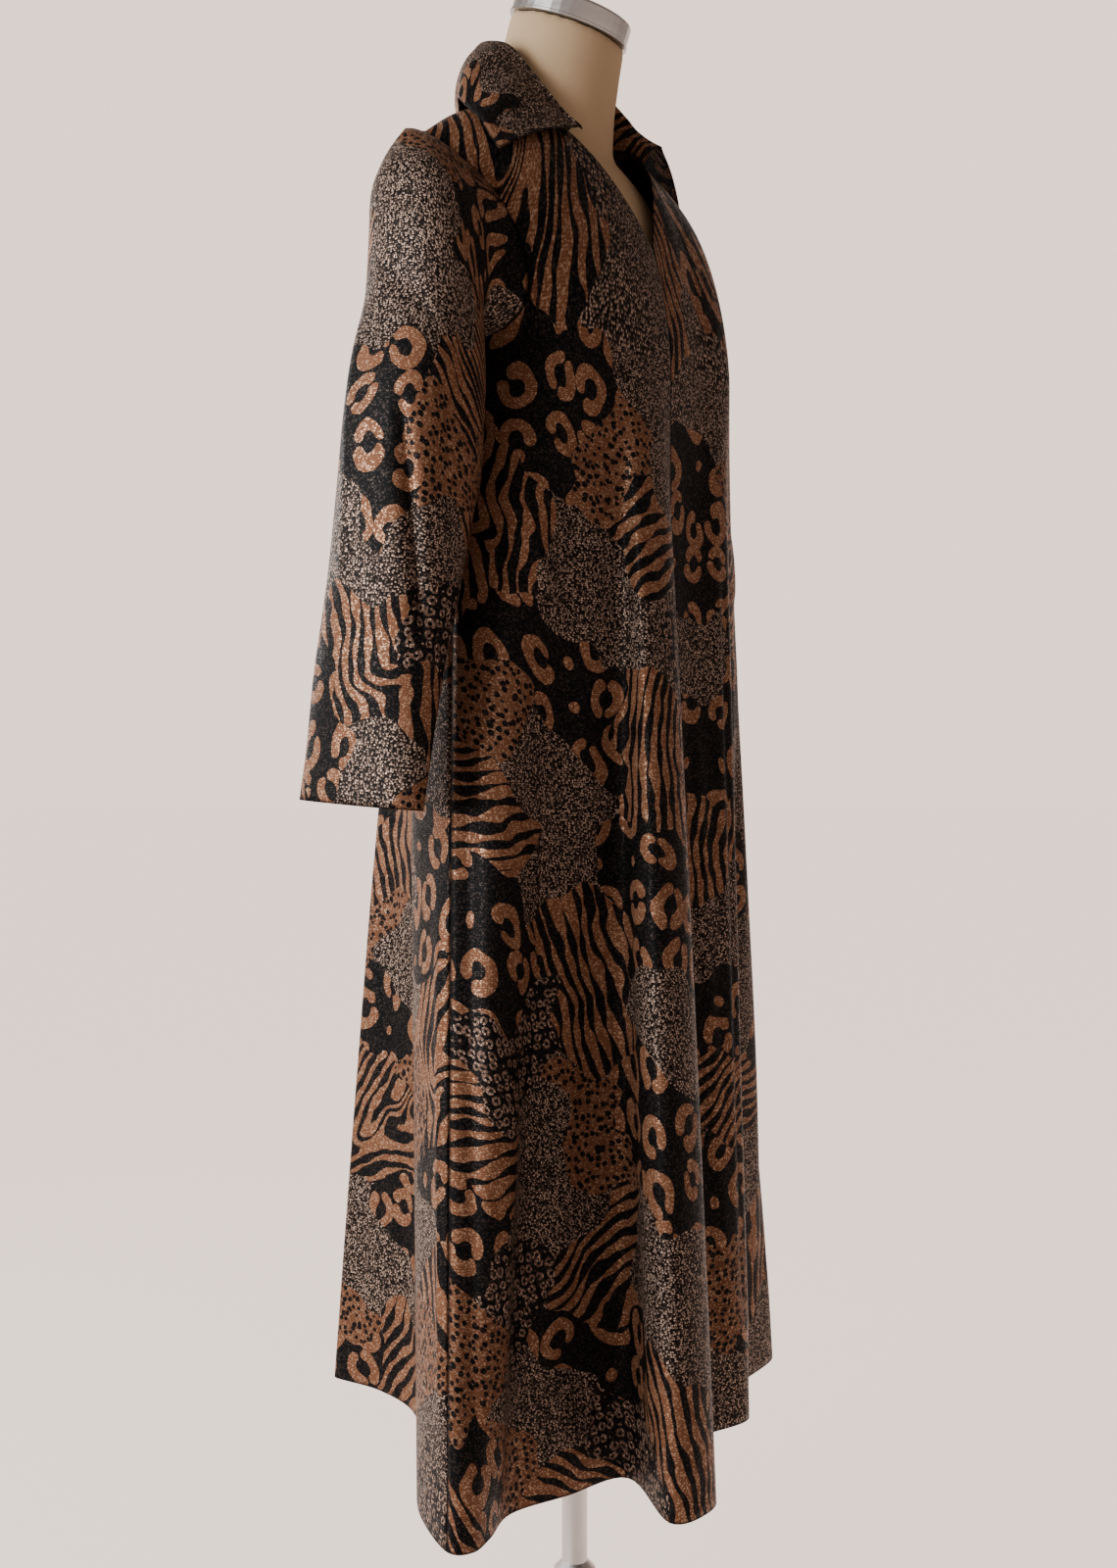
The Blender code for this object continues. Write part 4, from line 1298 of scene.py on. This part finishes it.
@dataclass
class PatchworkLayout:
    """Where each patch of the print lies on each cut piece."""

    spacing: float = 0.105
    warps: tuple[tuple[float, float], ...] = ((0.13, 0.013), (0.055, 0.0052))
    lie_reach: float = 0.035
    nowhere: float = 9.0
    seed: int = 11

    def seen(self, sight: Sight) -> dict[str, list[tuple[float, float, int, float]]]:
        """Places of the patches that the photograph shows.

        Args:
            sight: Finds the cloth behind a pixel.

        Returns:
            By piece, rows of metres across, metres up, kind and lie in radians.
        """
        found = {piece.name: [] for piece in sight.pieces}
        for kind, spots in SEEN_PATCHES.items():
            for *pixel, lie in (spot if kind is Patch.ZEBRA else (*spot, 0) for spot in spots):
                hit = sight.find(*pixel)
                if hit is None:
                    LOG.info("patch at %s misses the cloth", pixel)
                    continue
                name, across, up = hit
                found[name].append((across, up, kind.value, math.radians(lie)))
        return found

    def fill(self, piece: Cloth, known: list[tuple[float, float, int, float]]) -> Points:
        """Add chance patches where none is known, about as far apart as the known ones.

        Args:
            piece: The cut piece.
            known: The patches that are known already.

        Returns:
            Rows of metres across, metres up, kind and lie.
        """
        chance = np.random.default_rng(self.seed + len(piece.name) + len(piece.cloth) % 97)
        rows = [list(row) for row in known]
        for number in chance.permutation(len(piece.cloth)):
            across, up = piece.cloth[number]
            near = [math.hypot(across - row[0], up - row[1]) for row in rows]
            if near and min(near) < self.spacing * chance.uniform(0.85, 1.15):
                continue
            beside = [rows[k][2] for k in np.argsort(near)[:2]]
            kinds = [kind.value for kind in Patch if kind.value not in beside]
            rows.append([across, up, int(chance.choice(kinds)), chance.uniform(-1.2, 1.2)])
        return np.array(rows)

    def values(self, piece: Cloth, patches: Points) -> dict[str, Points]:
        """What the print's shader reads at each point.

        Args:
            piece: The cut piece.
            patches: Rows of metres across, metres up, kind and lie.

        Returns:
            By attribute: how far inside each kind of patch the point lies, the run across the
            stripes, and the distance from the piece's edge.
        """
        u, v = piece.cloth[:, 0], piece.cloth[:, 1]
        for pitch, size in self.warps:
            u, v = (
                u + size * np.sin(2 * np.pi * v / pitch + 3 * np.sin(9 * u)),
                v + size * np.sin(2 * np.pi * u / pitch + 3 * np.sin(7 * v)),
            )
        away = np.hypot(u[:, None] - patches[:, 0], v[:, None] - patches[:, 1])
        by_kind = np.full((len(u), len(Patch)), self.nowhere)
        for kind in Patch:
            of_kind = patches[:, 2] == kind.value
            if of_kind.any():
                by_kind[:, kind.value] = away[:, of_kind].min(axis=1)
        found = {}
        for kind in Patch:
            others = np.delete(by_kind, kind.value, axis=1).min(axis=1)
            found[kind.name.lower()] = others - by_kind[:, kind.value]
        striped = patches[:, 2] == Patch.ZEBRA.value
        weight = np.exp(-((away / self.lie_reach) ** 2)) * striped + 1e-9
        lie = patches[:, 3]
        run = ((piece.cloth[:, :1] - patches[:, 0]) * np.cos(lie)
               - (piece.cloth[:, 1:] - patches[:, 1]) * np.sin(lie))
        found["across"] = (run * weight).sum(axis=1) / weight.sum(axis=1)
        found["edge"] = piece.edge()
        return found


def make_object(name: str, mesh: bpy.types.Mesh, material: bpy.types.Material) -> bpy.types.Object:
    """Link a mesh as an object with a material and smooth faces."""
    mesh.materials.clear()
    mesh.materials.append(material)
    mesh.shade_smooth()
    obj = bpy.data.objects.new(name, mesh)
    bpy.context.scene.collection.objects.link(obj)
    return obj


def bake_modifiers(obj: bpy.types.Object) -> None:
    """Turn an object's modifiers into plain mesh."""
    graph = bpy.context.evaluated_depsgraph_get()
    baked = bpy.data.meshes.new_from_object(obj.evaluated_get(graph))
    obj.modifiers.clear()
    old, obj.data = obj.data, baked
    bpy.data.meshes.remove(old)


@dataclass
class ClothMaker:
    """Sews a cut piece: a thin shell with its print."""

    layout: PatchworkLayout
    material: bpy.types.Material
    thickness: float = 0.0013

    def mesh(self, piece: Cloth, patches: Points, outward: Vector) -> bpy.types.Mesh:
        """Make a cut piece's outer side.

        Args:
            piece: The cut piece.
            patches: Its patches.
            outward: A direction that the middle of its outside faces.

        Returns:
            The mesh, with its place on the flat cloth and what the print reads.
        """
        mesh = bpy.data.meshes.new(piece.name)
        quads = piece.quads()
        a, b, c, d = (Vector(piece.places[n]) for n in quads[len(quads) // 2])
        if (c - a).cross(d - b).dot(outward) < 0:
            quads = [quad[::-1] for quad in quads]
        mesh.from_pydata(piece.places.tolist(), [], quads)
        spots = piece.cloth[np.array(quads).reshape(-1)].reshape(-1, 4, 2)
        if piece.closed:
            half = np.ptp(piece.flat[..., 0]) / 2
            jump = spots[..., 0] - spots[:, :1, 0]
            turn = np.ptp(piece.flat[..., 0], axis=1).max()
            spots[..., 0] -= np.where(np.abs(jump) > half, np.sign(jump) * turn, 0)
        mesh.uv_layers.new(name="cloth").data.foreach_set("uv", spots.reshape(-1))
        for name, values in self.layout.values(piece, patches).items():
            mesh.attributes.new(name, "FLOAT", "POINT").data.foreach_set("value", values)
        return mesh

    def build(self, piece: Cloth, patches: Points, outward: Vector) -> None:
        """Make a cut piece's object, which replaces the CAD node of its name.

        Args:
            piece: The cut piece.
            patches: Its patches.
            outward: A direction that the middle of its outside faces.
        """
        obj = make_object(f"{piece.name}_cloth", self.mesh(piece, patches, outward), self.material)
        shell = obj.modifiers.new("thickness", "SOLIDIFY")
        shell.thickness = self.thickness
        shell.offset = -1.0
        bake_modifiers(obj)
        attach(obj, ROOT)
        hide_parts(piece.name)
        LOG.info("%s: %d points, %.2f m2", piece.name, len(piece.places), piece.area())


# ---------------------------------------------------------------------------------------
# The form and its stand


@dataclass
class DressForm:
    """The linen form with its cap, its pole and its base."""

    weld: float = 0.00005
    voxel: float = 0.005
    smoothing: int = 6

    def skin(self, linen: bpy.types.Material) -> None:
        """Make the linen-covered torso and neck, smoothed over the CAD solid."""
        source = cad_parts["form_body"]
        mesh = source.data.copy()
        work = bmesh.new()
        work.from_mesh(mesh)
        bmesh.ops.remove_doubles(work, verts=work.verts[:], dist=self.weld)
        work.to_mesh(mesh)
        work.free()
        obj = make_object("form_linen", mesh, linen)
        remesh = obj.modifiers.new("even", "REMESH")
        remesh.mode = "VOXEL"
        remesh.voxel_size = self.voxel
        smooth = obj.modifiers.new("smooth", "SMOOTH")
        smooth.factor = 0.5
        smooth.iterations = self.smoothing
        bake_modifiers(obj)
        obj.data.materials.clear()
        obj.data.materials.append(linen)
        obj.data.shade_smooth()
        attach(obj, ROOT)
        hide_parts("form_body")

    def dress_metal(self, cap: bpy.types.Material, stand: bpy.types.Material) -> None:
        """Give the carried-over CAD nodes their metals."""
        for name, material in (("neck_cap", cap), ("stand_pole", stand), ("stand_base", stand)):
            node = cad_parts[name]
            node.data.materials.clear()
            node.data.materials.append(material)


# ---------------------------------------------------------------------------------------
# The studio


@dataclass(frozen=True)
class Lamp:
    """A square lamp: metres to the camera's right, beyond the dress and up, size and power."""

    name: str
    right: float
    beyond: float
    up: float
    size: float
    power: float


@dataclass
class Studio:
    """Plain pale floor and air, with a soft light from the camera's left."""

    camera: PhotoCamera
    floor_radius: float = 60.0
    floor_corners: int = 96
    pale: tuple[float, float, float, float] = (0.80, 0.635, 0.555, 1)
    air_light: float = 2.35
    shade_light: float = 0.40
    floor_light: float = 2.2
    aim_height: float = 1.1
    lamps: tuple[Lamp, ...] = (
        Lamp("key", -2.05, -1.25, 1.5, 1.5, 118.0),
        Lamp("rim", -1.9, 1.1, 1.7, 1.2, 28.0),
    )

    def build(self) -> None:
        """Make the floor, the air and the lights."""
        mesh = bpy.data.meshes.new("studio_floor")
        low, turns = -0.0004, np.linspace(0, 2 * np.pi, self.floor_corners, endpoint=False)
        rim = [(self.floor_radius * math.cos(a), self.floor_radius * math.sin(a), low)
               for a in turns]
        mesh.from_pydata(rim, [], [tuple(range(len(rim)))])
        floor = make_object("studio_floor", mesh,
                            StudioGround(self.pale, self.floor_light, self.camera.place,
                                         self.camera.forward).build())
        self.air()
        for lamp in self.lamps:
            self.light(lamp)

    def air(self) -> None:
        """Pale air, bright behind the dress and dimmer on the camera's own side."""
        world = bpy.data.worlds.new("studio_air")
        world.use_nodes = True
        g = Graph(world.node_tree)
        way = g.add("TexCoord").outputs["Generated"]
        ahead = g.add("VectorMath", {0: way, 1: self.camera.forward}, operation="DOT_PRODUCT")
        behind = g.step(ahead.outputs["Value"], 0.66, 0.86)
        background = world.node_tree.nodes["Background"]
        background.inputs["Color"].default_value = self.pale
        g.put(background.inputs["Strength"], g.level(behind, self.shade_light, self.air_light))
        bpy.context.scene.world = world

    def light(self, lamp: Lamp) -> None:
        """Make a lamp that faces the dress's chest."""
        data = bpy.data.lights.new(lamp.name, "AREA")
        data.size = lamp.size
        data.energy = lamp.power
        place = (lamp.right * self.camera.rightward + lamp.beyond * self.camera.forward
                 + Vector((0, 0, lamp.up)))
        obj = bpy.data.objects.new(lamp.name, data)
        obj.location = place
        aim = Vector((0, 0, self.aim_height)) - place
        obj.rotation_euler = aim.to_track_quat("-Z", "Y").to_euler()
        bpy.context.scene.collection.objects.link(obj)


# ---------------------------------------------------------------------------------------
# The whole


def cut_pieces() -> list[Cloth]:
    """Cut every piece of the dress.

    Returns:
        The pieces.
    """
    dress, sleeve, collar = DressShape(), SleeveShape(), CollarShape()
    grids = {name: dress.grid(name) for name in ("front_right", "front_left", "back")}
    centre = {
        "front_right": 0,
        "front_left": grids["front_left"].shape[1] - 1,
        "back": dress.column("centre_back") - dress.column("side_right"),
    }
    pieces = [Cloth(name, grid, lay_flat(grid, centre[name])) for name, grid in grids.items()]
    for hand in Hand:
        loop = dress.armhole(grids, hand, sleeve.columns)
        grid = sleeve.grid(loop, hand)
        grid = np.roll(grid, -len(loop) // 2, axis=1)
        flat = lay_flat(grid, len(loop) // 2, closed=True)
        pieces.append(Cloth(f"sleeve_{hand.value}", grid, flat, closed=True))
    grid = collar.grid(dress)
    across = run_lengths(grid, 0)[:, -1:]
    across = np.repeat(across, grid.shape[1], axis=1)
    flat = np.stack([across - across.max() / 2, run_lengths(grid, 1)], axis=-1)
    pieces.append(Cloth("collar", grid, flat))
    return pieces


def main() -> None:
    """Build the camera, the studio and every piece, in order."""
    logging.basicConfig(level=logging.INFO, format="%(name)s: %(message)s")
    camera = PhotoCamera()
    camera.build()
    Studio(camera).build()

    grain = grain_group()
    jersey = PrintedJersey("printed_jersey").build(print_group())
    layout = PatchworkLayout()
    maker = ClothMaker(layout, jersey)
    outward = {
        "front_right": Vector((-0.3, -1, 0)), "front_left": Vector((0.3, -1, 0)),
        "back": Vector((0, 1, 0)), "sleeve_right": Vector((-1, 0, 0)),
        "sleeve_left": Vector((1, 0, 0)), "collar": Vector((0, 1, 0.3)),
    }
    pieces = cut_pieces()
    sight = Sight(camera, pieces)
    seen = layout.seen(sight)
    drape = Drape()
    lines = drape.lines(sight)
    for piece in pieces:
        drape.press(piece, lines[piece.name])
        maker.build(piece, layout.fill(piece, seen[piece.name]), outward[piece.name])

    form = DressForm()
    form.skin(Linen().build(grain))
    LOG.info("form")
    form.dress_metal(
        Metal("brushed_cap", (0.62, 0.61, 0.60, 1), (0.36, 0.35, 0.34, 1), 0.36, 9.0).build(grain),
        Metal("satin_steel", (0.66, 0.63, 0.61, 1), (0.50, 0.48, 0.46, 1), 0.42, 0.2).build(grain),
    )
    LOG.info("cap and stand")


if __name__ == "__main__":
    main()
